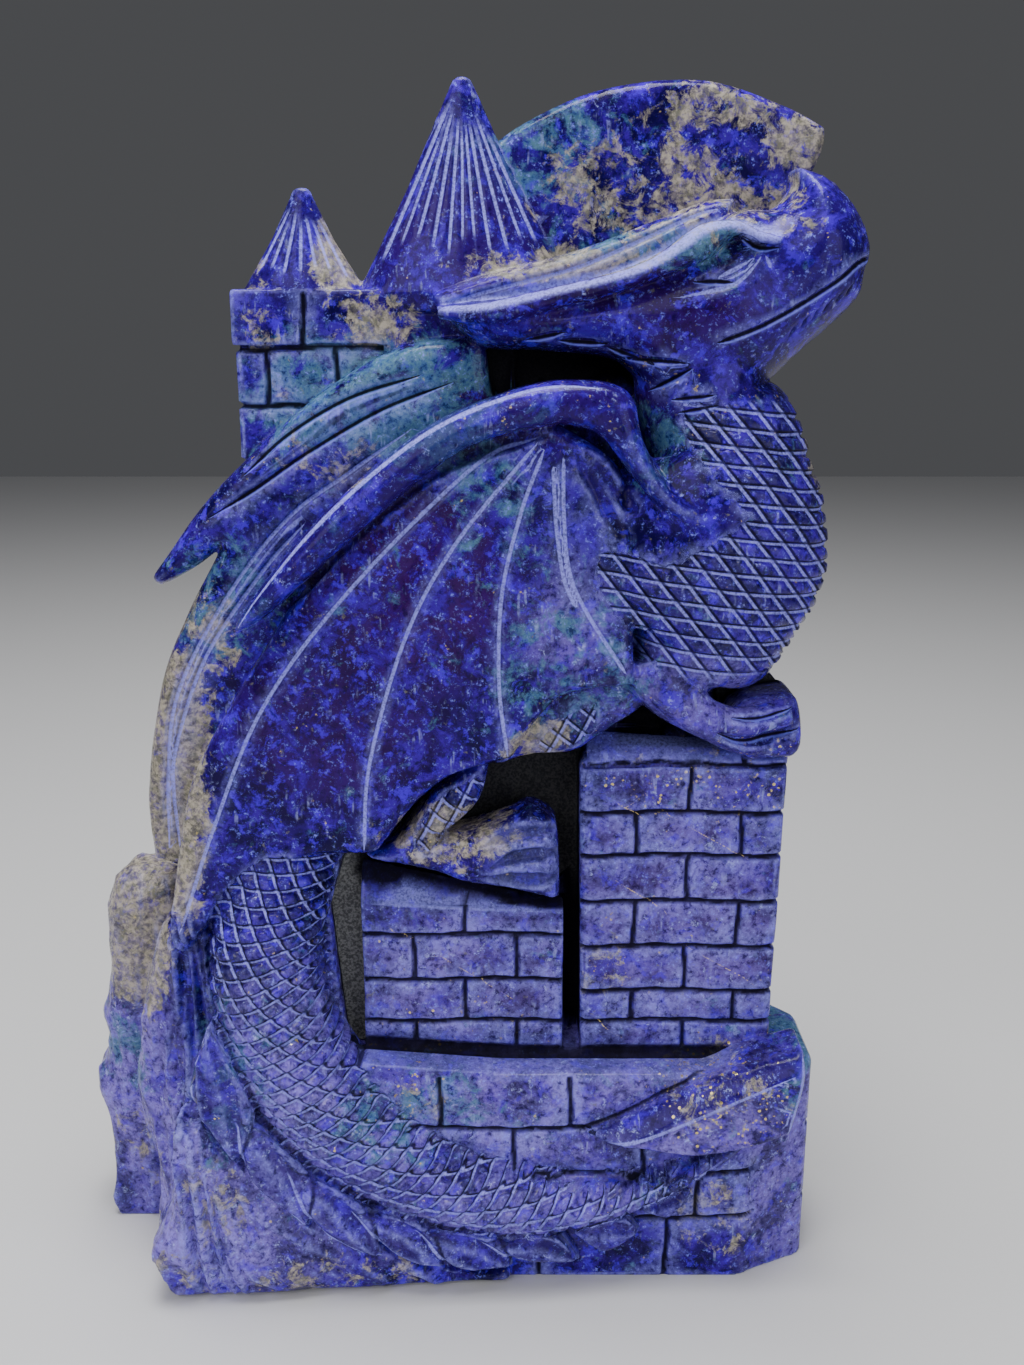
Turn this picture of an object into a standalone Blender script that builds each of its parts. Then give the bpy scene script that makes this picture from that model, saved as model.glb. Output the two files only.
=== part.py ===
"""A dragon perched on a castle, carved in the round from one thick slab of blue stone.

The stone stands on its flat foot. +X is the side the dragon's head points to, -Y is the
carved front, and +Z is up. Sizes are in millimetres until solid() turns them into metres.
Each form is a closed mesh; one Boolean joins them and a second one cuts the joints, the
slot and the holes.
"""

import math

import bmesh
import bpy
import numpy as np
from mathutils import Vector, geometry

MM = 0.001

# Castle: heights above the foot, and the faces that the front view shows.
PLINTH_HEIGHT = 41.2
PLINTH_LEFT = -34.0
PLINTH_CORNER = 51.0
PLINTH_RIGHT = 62.4
PLINTH_FRONT = -13.5
WALL_SETBACK = 7.5
CASTLE_BACK = 16.0
COLUMN_LEFT = -18.5
COLUMN_RIGHT = 17.0
COLUMN_HEIGHT = 29.0
SLOT_WIDTH = 3.4
SLOT_DEPTH = 9.0
TOWER_WIDTH = 36.0
TOWER_HEIGHT = 54.8
TOWER_FLARE = 0.8
LEDGE_REACH = 9.5
LEDGE_THICKNESS = 17.0
BUTTRESS_WIDTH = 4.0

# Keep behind the wings, with two cone roofs.
KEEP_LEFT = -37.3
KEEP_WIDTH = 46.0
KEEP_EAVE = 174.0
KEEP_FOOT = 118.0
KEEP_FRONT = 2.0
KEEP_BACK = 14.0
SMALL_ROOF_HEIGHT = 16.0
SMALL_ROOF_RADIUS = 10.0
BIG_ROOF_HEIGHT = 33.2
BIG_ROOF_RADIUS = 17.6
ROOF_DEPTH_SHARE = 0.5
ROOF_FLUTES = 14

# Brickwork cut into the castle.
JOINT_WIDTH = 1.0
JOINT_DEPTH = 1.1
TOWER_COURSES = (6.4, 5.9, 8.6, 8.6, 8.6, 7.9, 8.6, 8.8)
COLUMN_COURSES = (6.4, 8.1, 8.7, 6)
PLINTH_COURSES = (12.4, 9.1, 9.0, 10.7)
KEEP_COURSES = (9.1,) * 5
BRICK_LENGTH = 18.2
PLINTH_BRICK_LENGTH = 23.0
KEEP_BRICK_LENGTH = 11.4

# Grooves ground into the wings and the roofs.
RIB_WIDTH = 0.8
RIB_DEPTH = 0.7

# Scales of the neck, the tail and the haunch.
SCALE_RELIEF = 0.55
FRONT_SHARE = 0.7
NECK_ROWS = 23
NECK_COLUMNS = 28
TAIL_ROWS = 50
TAIL_COLUMNS = 16

# Where the middle of the stone's footprint lies in the sizes below.
ORIGIN_X = -4.65
ORIGIN_Y = -2.71

STONE_COLOUR = (0.035, 0.045, 0.36, 1.0)
STONE_ROUGHNESS = 0.22
FLAT_ANGLE = math.radians(5)


def curve(points, spacing):
    """A smooth curve through the points, with corners only at its two ends."""
    p = np.array(points, float)
    if len(p) == 2:
        count = max(1, round(np.linalg.norm(p[1] - p[0]) / spacing))
        return np.linspace(p[0], p[1], count + 1)
    p = np.vstack([2 * p[0] - p[1], p, 2 * p[-1] - p[-2]])
    out = []
    for a, b, c, d in zip(p, p[1:], p[2:], p[3:]):
        count = max(1, round(np.linalg.norm((c - b)[:2]) / spacing))
        t = np.arange(count)[:, None] / count
        out.append(0.5 * (2 * b + (c - a) * t + (2 * a - 5 * b + 4 * c - d) * t**2
                          + (3 * b - a - 3 * c + d) * t**3))
    return np.vstack([*out, p[-2][None]])


def outline(arcs, spacing):
    """A closed outline made of smooth arcs; each one starts where the last one ends."""
    return np.vstack([curve(arc, spacing)[:-1] for arc in arcs])


def distance(points, line, closed=False):
    """How far each point is from a polyline, in the plane of the front view."""
    line = np.asarray(line, float)
    if closed:
        line = np.vstack([line, line[:1]])
    best = np.full(len(points), np.inf)
    for a, b in zip(line, line[1:]):
        along = b - a
        share = np.clip((points - a) @ along / max(along @ along, 1e-12), 0, 1)
        best = np.minimum(best, np.linalg.norm(points - a - share[:, None] * along, axis=1))
    return best


def offset(line, by):
    """The polyline moved sideways."""
    step = np.gradient(line, axis=0)
    step /= np.maximum(np.linalg.norm(step, axis=1, keepdims=True), 1e-9)
    return line + by * np.stack([-step[:, 1], step[:, 0]], 1)


def inside(points, polygon):
    """Which points lie in the polygon."""
    hit = np.zeros(len(points), bool)
    for a, b in zip(polygon, np.roll(polygon, -1, 0)):
        spans = (a[1] > points[:, 1]) != (b[1] > points[:, 1])
        rise = b[1] - a[1] if abs(b[1] - a[1]) > 1e-12 else 1e-12
        hit ^= spans & (points[:, 0] < (b[0] - a[0]) * (points[:, 1] - a[1]) / rise + a[0])
    return hit


def groove(points, lines, width, depth):
    """How deep V grooves along the lines reach at each point."""
    cut = np.zeros(len(points))
    for line in lines:
        cut = np.maximum(cut, depth * (1 - distance(points, line) / width))
    return cut


def solid(name, points, faces):
    """A closed mesh object from points in millimetres."""
    mesh = bpy.data.meshes.new(name)
    place = [(MM * (x - ORIGIN_X), MM * (y - ORIGIN_Y), MM * z) for x, y, z in points]
    mesh.from_pydata(place, [], faces)
    bm = bmesh.new()
    bm.from_mesh(mesh)
    bmesh.ops.remove_doubles(bm, verts=bm.verts, dist=1e-6)
    bmesh.ops.triangulate(bm, faces=[f for f in bm.faces if len(f.verts) > 3])
    bmesh.ops.recalc_face_normals(bm, faces=bm.faces)
    if bm.calc_volume(signed=True) < 0:
        bmesh.ops.reverse_faces(bm, faces=bm.faces)
    bm.to_mesh(mesh)
    bm.free()
    return bpy.data.objects.new(name, mesh)


def plate(name, arcs, front, back, spacing, rim=1.0, lines=(), line_width=RIB_WIDTH):
    """A carved plate seen from the front.

    front and back give the depth of each face from the point and its distance to the
    edge; a ring at rim keeps the rounded edge, and lines keep their grooves.
    """
    edge = outline(arcs, spacing)
    ring = offset(np.vstack([edge, edge[:1]]), rim)[:-1]
    if not inside(ring, edge).mean() > 0.5:
        ring = offset(np.vstack([edge, edge[:1]]), -rim)[:-1]
    ring = ring[inside(ring, edge) & (distance(ring, edge, True) > 0.8 * rim)]
    low, high = edge.min(0), edge.max(0)
    grid = np.stack(np.meshgrid(np.arange(low[0], high[0], 1.6 * spacing),
                                np.arange(low[1], high[1], 1.6 * spacing)), -1).reshape(-1, 2)
    keep = inside(grid, edge) & (distance(grid, edge, True) > rim + 0.7 * spacing)
    tracks = []
    for line in lines:
        keep &= distance(grid, line) > line_width + 0.5 * spacing
        for by in (-line_width, 0, line_width):
            track = offset(np.asarray(line, float), by)
            near = inside(track, edge) & (distance(track, edge, True) > 1.2 * rim)
            tracks.append(track[near])
        ring = ring[distance(ring, line) > 1.3 * line_width]
    points = [edge, ring, grid[keep]]
    count = sum(len(p) for p in points)
    ties = []
    for track in tracks:
        ties += [(count + i, count + i + 1) for i in range(len(track) - 1)]
        points.append(track)
        count += len(track)
    flat = np.vstack(points)
    found = geometry.delaunay_2d_cdt([Vector(p) for p in flat], ties,
                                     [list(range(len(edge)))], 1, 1e-4)
    spots = np.array([tuple(v) for v in found[0]])
    triangles = [tuple(f) for f in found[2]]
    reach = distance(spots, edge, True)
    total = len(spots)
    faces_y = front(spots, reach), back(spots, reach)
    verts = [(x, y, z) for (x, z), y in zip(spots, faces_y[0])]
    verts += [(x, y, z) for (x, z), y in zip(spots, faces_y[1])]
    sides = {}
    for a, b, c in triangles:
        for pair in ((a, b), (b, c), (c, a)):
            if (pair[1], pair[0]) in sides:
                del sides[pair[1], pair[0]]
            else:
                sides[pair] = True
    faces = triangles + [(c + total, b + total, a + total) for a, b, c in triangles]
    faces += [(b, a, a + total, b + total) for a, b in sides]
    return solid(name, verts, faces)


def rounded(reach, radius):
    """How far a face has risen at this distance from its rounded edge, from 0 to 1."""
    share = np.clip(reach / radius, 0, 1)
    return np.sqrt(1 - (1 - share) ** 2)


def tube(name, stations, rows, columns, relief=0.0):
    """A round form along stations of (x, z, half width, y, half depth).

    With relief, the grid's points stand alternately high and low, and each face is split
    along its low corners, which makes a lattice of pointed scales.
    """
    path = curve(stations, 0.5)
    length = np.concatenate([[0], np.cumsum(np.linalg.norm(np.diff(path[:, :2], axis=0), axis=1))])
    at = np.linspace(0, length[-1], rows)
    row = np.stack([np.interp(at, length, path[:, k]) for k in range(5)], 1)
    step = np.gradient(row[:, :2], axis=0)
    step /= np.linalg.norm(step, axis=1, keepdims=True)
    ahead = round(columns * FRONT_SHARE / 2) * 2
    turns = [math.pi * j / ahead for j in range(ahead)]
    turns += [math.pi * (1 + j / (columns - ahead)) for j in range(columns - ahead)]
    verts = []
    for i, ((x, z, width, y, depth), (tx, tz)) in enumerate(zip(row, step)):
        for j, turn in enumerate(turns):
            sink = relief * ((i + j) % 2) * min(1, min(width, depth) / 4)
            out = (max(width - sink, 0.2) * math.cos(turn), max(depth - sink, 0.2) * math.sin(turn))
            verts.append((x - tz * out[0], y - out[1], z + tx * out[0]))
    faces = []
    for i in range(rows - 1):
        for j in range(columns):
            a, b = i * columns + j, i * columns + (j + 1) % columns
            c, d = b + columns, a + columns
            faces += [(a, b, d), (b, c, d)] if (i + j) % 2 == 0 else [(a, b, c), (a, c, d)]
    for end in (0, rows - 1):
        centre = len(verts)
        x, z, _, y, _ = row[end]
        verts.append((x, y, z))
        ring = range(end * columns, (end + 1) * columns)
        faces += [(centre, i, end * columns + (i + 1 - end * columns) % columns) for i in ring]
    return solid(name, verts, faces)


def block(name, low, high, chamfer=0.8, flare=0.0):
    """A box with chamfered edges; flare widens its top along X."""
    bm = bmesh.new()
    bmesh.ops.create_cube(bm, size=1)
    low, high = np.array(low, float), np.array(high, float)
    for v in bm.verts:
        v.co = Vector((low + high) / 2 + np.array(v.co) * (high - low))
        if v.co.z > (low[2] + high[2]) / 2:
            v.co.x += flare * (1 if v.co.x > (low[0] + high[0]) / 2 else -1)
    if chamfer:
        bmesh.ops.bevel(bm, geom=bm.edges[:], offset=chamfer, segments=1, affect="EDGES")
    points = [tuple(v.co) for v in bm.verts]
    faces = [tuple(v.index for v in f.verts) for f in bm.faces]
    bm.free()
    return solid(name, points, faces)


def roof(name, centre, radius, height, depth_share):
    """A cone roof with flutes that run out towards its blunt tip."""
    x, y, z = centre
    verts, faces = [], []
    ring = 2 * ROOF_FLUTES
    levels = ((-3.0, 0.9), (0.0, 1.0), (0.86, 0.17), (0.96, 0.09), (1.0, 0.035))
    for rise, share in levels:
        lift = rise if rise < 0 else rise * height
        for j in range(ring):
            turn = 2 * math.pi * j / ring
            out = radius * share
            if j % 2 and 0 <= rise < 0.9:
                out -= RIB_DEPTH * min(1, 2.5 * share)
            verts.append((x + out * math.cos(turn), y + depth_share * out * math.sin(turn), z + lift))
    for k in range(len(levels) - 1):
        for j in range(ring):
            a, b = k * ring + j, k * ring + (j + 1) % ring
            faces.append((a, b, b + ring, a + ring))
    faces += [tuple(range(ring)), tuple(range((len(levels) - 1) * ring, len(levels) * ring))]
    return solid(name, verts, faces)


def prism(name, plan, bottom, top):
    """An upright form with the plan (x, y) between two heights."""
    count = len(plan)
    verts = [(x, y, bottom) for x, y in plan] + [(x, y, top) for x, y in plan]
    faces = [tuple(range(count)), tuple(range(count, 2 * count))]
    faces += [(i, (i + 1) % count, count + (i + 1) % count, count + i) for i in range(count)]
    return solid(name, verts, faces)


def slab(name, arcs, front, back, spacing, bulge=3.0, roundness=4.0, slope=(0.0, 0.0), **more):
    """A plate whose faces are level but for rounded edges, a slope, and grooved lines."""
    lines = more.get("lines", ())
    middle = (front + back) / 2

    def face(sign):
        def depth(spots, reach):
            level = (front if sign < 0 else back) + spots @ np.array(slope)
            level = level + (bulge if sign < 0 else -bulge) * (1 - rounded(reach, roundness))
            level += -sign * groove(spots, lines, RIB_WIDTH, RIB_DEPTH)
            return np.minimum(level, middle - 0.3) if sign < 0 else np.maximum(level, middle + 0.3)
        return depth

    return plate(name, arcs, face(-1), face(1), spacing, **more)


def castle():
    """The plinth, the walls behind the dragon, the keep and its roofs."""
    plan = ((PLINTH_LEFT, PLINTH_FRONT), (PLINTH_CORNER - 1.5, PLINTH_FRONT),
            (PLINTH_CORNER + 0.5, PLINTH_FRONT + 1.5), (PLINTH_RIGHT, -7), (PLINTH_RIGHT, 9),
            (PLINTH_RIGHT - 6, CASTLE_BACK), (PLINTH_LEFT, CASTLE_BACK))
    wall = PLINTH_FRONT + WALL_SETBACK
    tower_left = COLUMN_RIGHT + SLOT_WIDTH
    tower_top = PLINTH_HEIGHT + TOWER_HEIGHT
    yield prism("plinth", plan, 0, PLINTH_HEIGHT)
    yield block("column", (COLUMN_LEFT, wall, PLINTH_HEIGHT - 3),
                (COLUMN_RIGHT, 10, PLINTH_HEIGHT + COLUMN_HEIGHT))
    yield block("tower", (tower_left, wall, PLINTH_HEIGHT - 3),
                (tower_left + TOWER_WIDTH - 2, 13, tower_top), flare=TOWER_FLARE)
    yield block("core", (COLUMN_LEFT - 9, wall + SLOT_DEPTH, 2), (tower_left + 14, 15.5, 101))
    yield block("tower_head", (33, 5.5, 92), (50, 13, 104.5))
    yield block("keep", (KEEP_LEFT, KEEP_FRONT, 70),
                (KEEP_LEFT + KEEP_WIDTH, KEEP_BACK, KEEP_EAVE - 1))
    yield block("keep_side", (KEEP_LEFT + 20, 4, 95), (34, KEEP_BACK - 2, 171))
    yield block("eave", (KEEP_LEFT - 0.4, KEEP_FRONT - 0.6, KEEP_EAVE - 9),
                (KEEP_LEFT + KEEP_WIDTH, KEEP_BACK + 0.6, KEEP_EAVE))
    yield roof("small_roof", (-26.3, 8, KEEP_EAVE), SMALL_ROOF_RADIUS, SMALL_ROOF_HEIGHT, 0.62)
    yield roof("big_roof", (0, 7.5, KEEP_EAVE - 0.6), BIG_ROOF_RADIUS, BIG_ROOF_HEIGHT,
               ROOF_DEPTH_SHARE)


def rocks():
    """The rough stone at the left of the plinth."""
    yield slab("left_rock", [[(-66, 70.6), (-62, 72.3), (-52, 72.3)], [(-52, 72.3), (-46, 0)],
                             [(-46, 0), (-62, 0)],
                             [(-62, 0), (-68.5, 4.5), (-71.7, 21), (-72.4, 27.5), (-68.6, 36)],
                             [(-68.6, 36), (-69, 42), (-66.7, 49), (-66.7, 59.6), (-66, 70.6)]],
               3.5, 17, 6, bulge=4, roundness=6)
    yield slab("middle_rock", [[(-57, 0), (-60, 30), (-57, 52), (-50, 74)], [(-50, 74), (-26, 86)],
                               [(-26, 86), (-18, 0)], [(-18, 0), (-57, 0)]],
               -7, 15, 6, bulge=4, roundness=5)
    yield slab("front_rock", [[(-50, 35), (-52.6, 17.3), (-56.5, 9.5), (-53, 0)],
                              [(-53, 0), (8, 0)], [(8, 0), (8, 2.6)],
                              [(8, 2.6), (-12, 10), (-26, 16), (-38, 28), (-50, 35)]],
               -18, -2, 5, bulge=4, roundness=5, slope=(0.07, 0))


def wings():
    """Both wings, the sail, and the arm that holds the near wing."""
    finger = [(15.5, 153.7), (6.9, 152), (-2.7, 147.5), (-17.4, 135.4), (-31, 122)]
    arm = [(43.2, 139.2), (42, 136.6), (32.5, 139.4), (26.6, 145.5), (21.3, 152), (15.5, 153.7)]
    outer = [(-33.8, 121.8), (-31.1, 127), (-22.3, 137.5), (-12.3, 147.8), (-2.6, 154.4), (8, 158.6)]
    shoulder = [(8, 158.6), (15, 160), (23, 159.6), (26.6, 157), (28.3, 150.6), (33.7, 142.9),
                (43.2, 139.2)]
    ribs = (curve([(9.4, 150), (-10.2, 133.8), (-26.8, 114.6), (-42, 86.8), (-48.6, 68.2)], 3.2),
            curve([(11.7, 150), (-0.9, 134.8), (-11.8, 112.5), (-16.9, 82.7)], 3.2),
            curve([(13.7, 149), (9.4, 139.7), (5.9, 118.2), (7.3, 99.8)], 3.2),
            curve([(15, 147), (15.5, 131), (22.9, 115.6)], 3.2))
    edge = [[(-28.2, 124), (-37.9, 108.6), (-45.6, 95), (-49.2, 79.7), (-51.3, 64.6), (-50.2, 63)],
            [(-50.2, 63), (-45.6, 67.2), (-38.2, 75.3), (-27.5, 80.9), (-15, 82)],
            [(-15, 82), (-8.5, 90.5), (-1.9, 95.9), (8, 99)],
            [(8, 99), (12.5, 106), (17.4, 110.1), (28, 111.5)],
            [(28, 111.5), (27, 130), (25, 146), (14, 154)], [(14, 154), (-8, 146), (-28.2, 124)]]
    yield slab("membrane", edge, -13.6, 0, 4.6, bulge=2.5, roundness=3, slope=(-0.03, 0),
               lines=ribs)
    yield slab("finger", [finger + [outer[0]], outer, shoulder, arm], -18.4, -4, 3.6, bulge=3.2,
               roundness=3.6, slope=(-0.03, 0))
    far_ribs = (curve([(-3, 160), (-22, 147), (-39, 128), (-49, 101), (-51, 82)], 4.5),
                curve([(-8, 152), (-28, 134), (-41, 106)], 4.5))
    yield slab("far_wing", [[(4, 166.5), (-8.1, 165.4), (-18.1, 161), (-28.5, 153.5), (-41.9, 141),
                             (-51, 128.6)],
                            [(-51, 128.6), (-45, 129.6), (-40.8, 132.4)],
                            [(-40.8, 132.4), (-47.4, 120.5), (-52.6, 108), (-56.2, 89),
                             (-55.8, 76.5)],
                            [(-55.8, 76.5), (-46, 74)], [(-46, 74), (8, 110), (4, 166.5)]],
               -2.6, 9, 5.6, bulge=3, roundness=3.5, lines=far_ribs)
    yield slab("sail", [[(2, 194), (9.3, 199.5), (22, 204.7), (38, 206.3), (51, 202.8),
                         (58.6, 199.2)], [(58.6, 199.2), (58, 195), (53, 184)],
                        [(53, 184), (30, 172)], [(30, 172), (2, 176)], [(2, 176), (2, 194)]],
               6.6, 13, 5, bulge=2, roundness=2.6)


def animal():
    """The dragon without its wings."""
    yield slab("head", [[(-4.4, 171), (16, 173.6), (31, 178.8), (39, 183.2), (43.5, 185.4),
                         (48, 185.4), (50.8, 188.2), (51, 191.6)],
                        [(51, 191.6), (56.1, 189.9), (60.6, 185.5), (63.1, 180.2), (62.7, 176)],
                        [(62.7, 176), (61.6, 171.5), (53.9, 164.4), (48.6, 159.5), (42.6, 157),
                         (30, 157.5)],
                        [(30, 157.5), (24, 163), (12, 164.4), (3, 165.2), (-4.4, 171)]],
               -14.5, 9, 3.6, bulge=9.5, roundness=10,
               lines=(curve([(63, 178), (53, 172.9), (45.7, 168.8), (38.8, 165.4)], 3.4),
                      curve([(50.5, 183), (47, 180.2), (41, 180.6)], 3.4)))
    yield tube("near_horn", [(-3, 170.3, 1.4, -9, 3), (12, 171.8, 2.2, -11, 3.4),
                             (27, 175.6, 2.6, -12.5, 3.4), (38, 181.4, 2.4, -12.5, 3),
                             (43, 183.4, 1.6, -10, 2.6)], 12, 10)
    yield slab("far_horn", [[(-4.6, 173), (5.4, 176.3), (18.7, 179.8), (29.3, 183.6),
                             (37.6, 186.8), (43, 187.4)],
                            [(43, 187.4), (40, 182), (20, 173), (-4, 170.6)], [(-4, 170.6), (-4.6, 173)]],
               -4.5, 6, 4.5, bulge=3, roundness=3)
    yield tube("neck", [(38.6, 168, 12, -3, 10), (38.2, 157.5, 10.4, -3, 11),
                        (41, 150.5, 13.6, -3, 13.5), (41, 143.5, 17.4, -3, 15.4),
                        (40.4, 137, 19.5, -3, 16), (39.8, 130, 20.1, -3, 16),
                        (39.6, 124, 18.5, -3, 15), (39, 118, 14.4, -3, 13),
                        (36.6, 113, 8.8, -3.4, 10.5), (36, 109, 4.6, -4, 8)],
               NECK_ROWS, NECK_COLUMNS, SCALE_RELIEF)
    yield tube("foreleg", [(34.5, 115, 6, -6, 7.5), (36.6, 108.6, 5.6, -7, 7.6),
                           (42, 104.6, 4.6, -7.6, 7), (49, 103.4, 4.6, -7.6, 6.6),
                           (54.6, 103, 4, -7.4, 6)], 9, 12)
    yield tube("claw", [(38.4, 113.4, 1.2, -11, 2), (38.8, 109.6, 2, -12, 2.6),
                        (44, 107.2, 1.9, -12.4, 2.6), (53.5, 107.2, 1.6, -11.5, 2.6)], 10, 8)
    yield slab("ledge", [[(42, 96), (42.4, 108.4), (46, 110.6), (52.9, 109.4), (56.3, 105.5)],
                         [(56.3, 105.5), (57, 93)], [(57, 93), (42, 96)]], 1, 12, 5, bulge=2,
               roundness=3)
    yield slab("belly", [[(5, 95.6), (11, 97.6), (18.8, 98.4), (25, 102.6), (30.5, 107),
                          (31, 114)], [(31, 114), (12, 114)], [(12, 114), (5, 95.6)]],
               -9, 8, 4, bulge=4, roundness=4)
    yield slab("shin", [[(-17, 79.5), (-11.1, 84), (-4.2, 93), (4.5, 99)],
                        [(4.5, 99), (2.6, 91), (-1.5, 86.2), (-6, 83)], [(-6, 83), (-17, 79.5)]],
               -11, 4, 4, bulge=3, roundness=3.4)
    toes = (curve([(-3.5, 83.4), (6, 84.6), (14.6, 84)], 3.5),
            curve([(-3.5, 81), (6, 79.6), (15, 77.4)], 3.5))
    yield slab("hind_foot", [[(-17, 79.5), (-6, 84), (-3.6, 87.8), (4, 89.6), (13, 88)],
                             [(13, 88), (15, 83), (15.8, 72)],
                             [(15.8, 72), (8, 74.4), (-3, 77.4), (-17, 79.5)]],
               -11.4, 2, 3.6, bulge=3.6, roundness=4.4, lines=toes)


def tail():
    """The tail round the plinth, its leaf spines and its spade."""
    yield tube("tail", [(-24, 92, 8, 1, 9), (-30, 81, 9, 0, 11), (-33.8, 70, 9.7, -5, 12),
                        (-34.8, 60, 10, -8, 13), (-33, 49.5, 10, -9, 13.3),
                        (-28.8, 39.8, 9.9, -9.1, 13.3), (-22, 31, 9.4, -9.3, 12.9),
                        (-12.6, 23.8, 8.4, -9.5, 12.1), (-2, 19, 7.4, -9.9, 11.3),
                        (10, 16.6, 6.7, -9.9, 10.7), (22, 17, 5.2, -9.5, 9.9),
                        (34, 20, 3.6, -9.1, 8.9), (44, 25, 2.2, -8.5, 7.9),
                        (50, 29, 1.2, -7.9, 7.1)],
               TAIL_ROWS, TAIL_COLUMNS, SCALE_RELIEF)
    spines = (((-43, 55), (-46.3, 42), (-39.5, 27.7), (-36, 40)),
              ((-39, 38), (-37, 25), (-28, 15), (-27, 27)),
              ((-31.3, 28.4), (-26, 15), (-15.3, 8.4), (-18, 20)),
              ((-20, 18.5), (-12.5, 9), (-3, 5.5), (-8, 16)),
              ((-9, 14), (-1.5, 5.6), (8.4, 5.3), (4, 13)),
              ((2.5, 11), (10, 6.6), (20.5, 5.7), (15, 12)),
              ((18, 12.5), (24.5, 7.6), (31.2, 11.3), (27, 15.5)),
              ((30, 16), (36, 14), (40, 18.4), (36, 20)))
    for number, (root, side, tip, inner) in enumerate(spines):
        yield slab(f"spine_{number}", [[root, side, tip], [tip, inner, root]], -18.6, -3, 4,
                   bulge=2, roundness=2)
    yield slab("spade", [[(20.5, 30.4), (28, 33.6), (36.2, 38.3), (44.6, 42.3), (52.9, 45.4),
                          (58.6, 47.2)], [(58.6, 47.2), (58.4, 41), (56.6, 32)],
                         [(56.6, 32), (49.5, 29.4), (40, 27.8), (31, 29), (20.5, 30.4)]],
               -17, -6, 3.4, bulge=2.4, roundness=2.6)


def bricks(name, left, right, bottom, courses, length, phases, face, back=False):
    """Joint cutters over one wall: a line on top of each course and upright ones between.

    phases gives how far from the left the first upright joint of every course stands, in
    brick lengths.
    """
    near, far = (face - 3, face + JOINT_DEPTH) if not back else (face - JOINT_DEPTH, face + 3)
    half = JOINT_WIDTH / 2
    height = bottom
    for row, course in enumerate(courses):
        if row:
            yield block(f"{name}_bed_{row}", (left - 2, near, height - half),
                        (right + 2, far, height + half), 0)
        x = left + length * phases[row % len(phases)]
        while x < right - 3:
            if x > left + 3:
                yield block(f"{name}_joint_{row}_{x:.0f}", (x - half, near, height + 0.3 * half),
                            (x + half, far, height + course - 0.3 * half), 0)
            x += length
        height += course


def cutters():
    """Everything taken out of the stone: joints, the slot, the cavity and the hole."""
    wall = PLINTH_FRONT + WALL_SETBACK
    tower_left = COLUMN_RIGHT + SLOT_WIDTH
    tower_right = tower_left + TOWER_WIDTH - 2
    yield block("slot", (COLUMN_RIGHT, -12, PLINTH_HEIGHT + 0.6),
                (tower_left, wall + SLOT_DEPTH, 99), 0)
    yield block("cavity", (1.5, -12, 86), (COLUMN_RIGHT + 1, 8, 98), 0)
    yield block("hole", (28, -30, 100.4), (32.4, 30, 103), 0)
    yield slab("undercut", [[(27, 98.5), (32, 97.4), (42, 98)], [(42, 98), (37, 101.6),
               (31, 104.4)], [(31, 104.4), (27, 98.5)]], -30, 5, 4, bulge=0, roundness=1)
    yield from bricks("tower", tower_left, tower_right, PLINTH_HEIGHT, TOWER_COURSES,
                      BRICK_LENGTH, (1.0, 0.5), wall)
    yield from bricks("column", COLUMN_LEFT, COLUMN_RIGHT - 2, PLINTH_HEIGHT, COLUMN_COURSES,
                      BRICK_LENGTH, (0.5, 1.0), wall)
    yield from bricks("plinth", COLUMN_LEFT, PLINTH_CORNER - 1, 0, PLINTH_COURSES,
                      PLINTH_BRICK_LENGTH, (0.37, 0.6, 0.17, 0.6), PLINTH_FRONT)
    yield from bricks("keep", KEEP_LEFT, -16, 128.3, KEEP_COURSES, KEEP_BRICK_LENGTH,
                      (1.0, 0.45), KEEP_FRONT)
    yield from bricks("tower_back", tower_left + 16, tower_right, PLINTH_HEIGHT, (11,) * 5,
                      BRICK_LENGTH, (1.0, 0.5), 13, back=True)
    yield from bricks("core_back", COLUMN_LEFT - 7, tower_left + 12, PLINTH_HEIGHT, (11,) * 5,
                      BRICK_LENGTH, (1.0, 0.5), 15.5, back=True)
    yield from bricks("keep_back", KEEP_LEFT, KEEP_LEFT + KEEP_WIDTH, 102, (12,) * 6,
                      BRICK_LENGTH, (1.0, 0.5), KEEP_BACK, back=True)


def stone():
    """The lapis-blue material of the solid."""
    material = bpy.data.materials.new("blue_stone")
    material.use_nodes = True
    shader = material.node_tree.nodes["Principled BSDF"]
    shader.inputs["Base Color"].default_value = STONE_COLOUR
    shader.inputs["Roughness"].default_value = STONE_ROUGHNESS
    return material


def collect(name, objects):
    """A collection of helper solids that stay out of renders."""
    group = bpy.data.collections.new(name)
    bpy.context.scene.collection.children.link(group)
    for obj in objects:
        obj.hide_render = True
        obj.display_type = "WIRE"
        group.objects.link(obj)
    return group


def main():
    """Builds the statue as one solid."""
    for obj in list(bpy.data.objects):
        bpy.data.objects.remove(obj)
    forms = [*castle(), *rocks(), *wings(), *animal(), *tail()]
    statue = forms[0]
    statue.name = "dragon_statue"
    statue.data.materials.append(stone())
    bpy.context.scene.collection.objects.link(statue)
    for operation, group in (("UNION", collect("forms", forms[1:])),
                             ("DIFFERENCE", collect("cutters", list(cutters())))):
        step = statue.modifiers.new(group.name, "BOOLEAN")
        step.operand_type = "COLLECTION"
        step.collection = group
        step.operation = operation
        step.solver = "EXACT"
        step.use_self = operation == "UNION"
    flat = statue.modifiers.new("flat_faces", "DECIMATE")
    flat.decimate_type = "DISSOLVE"
    flat.angle_limit = FLAT_ANGLE


main()
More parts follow.
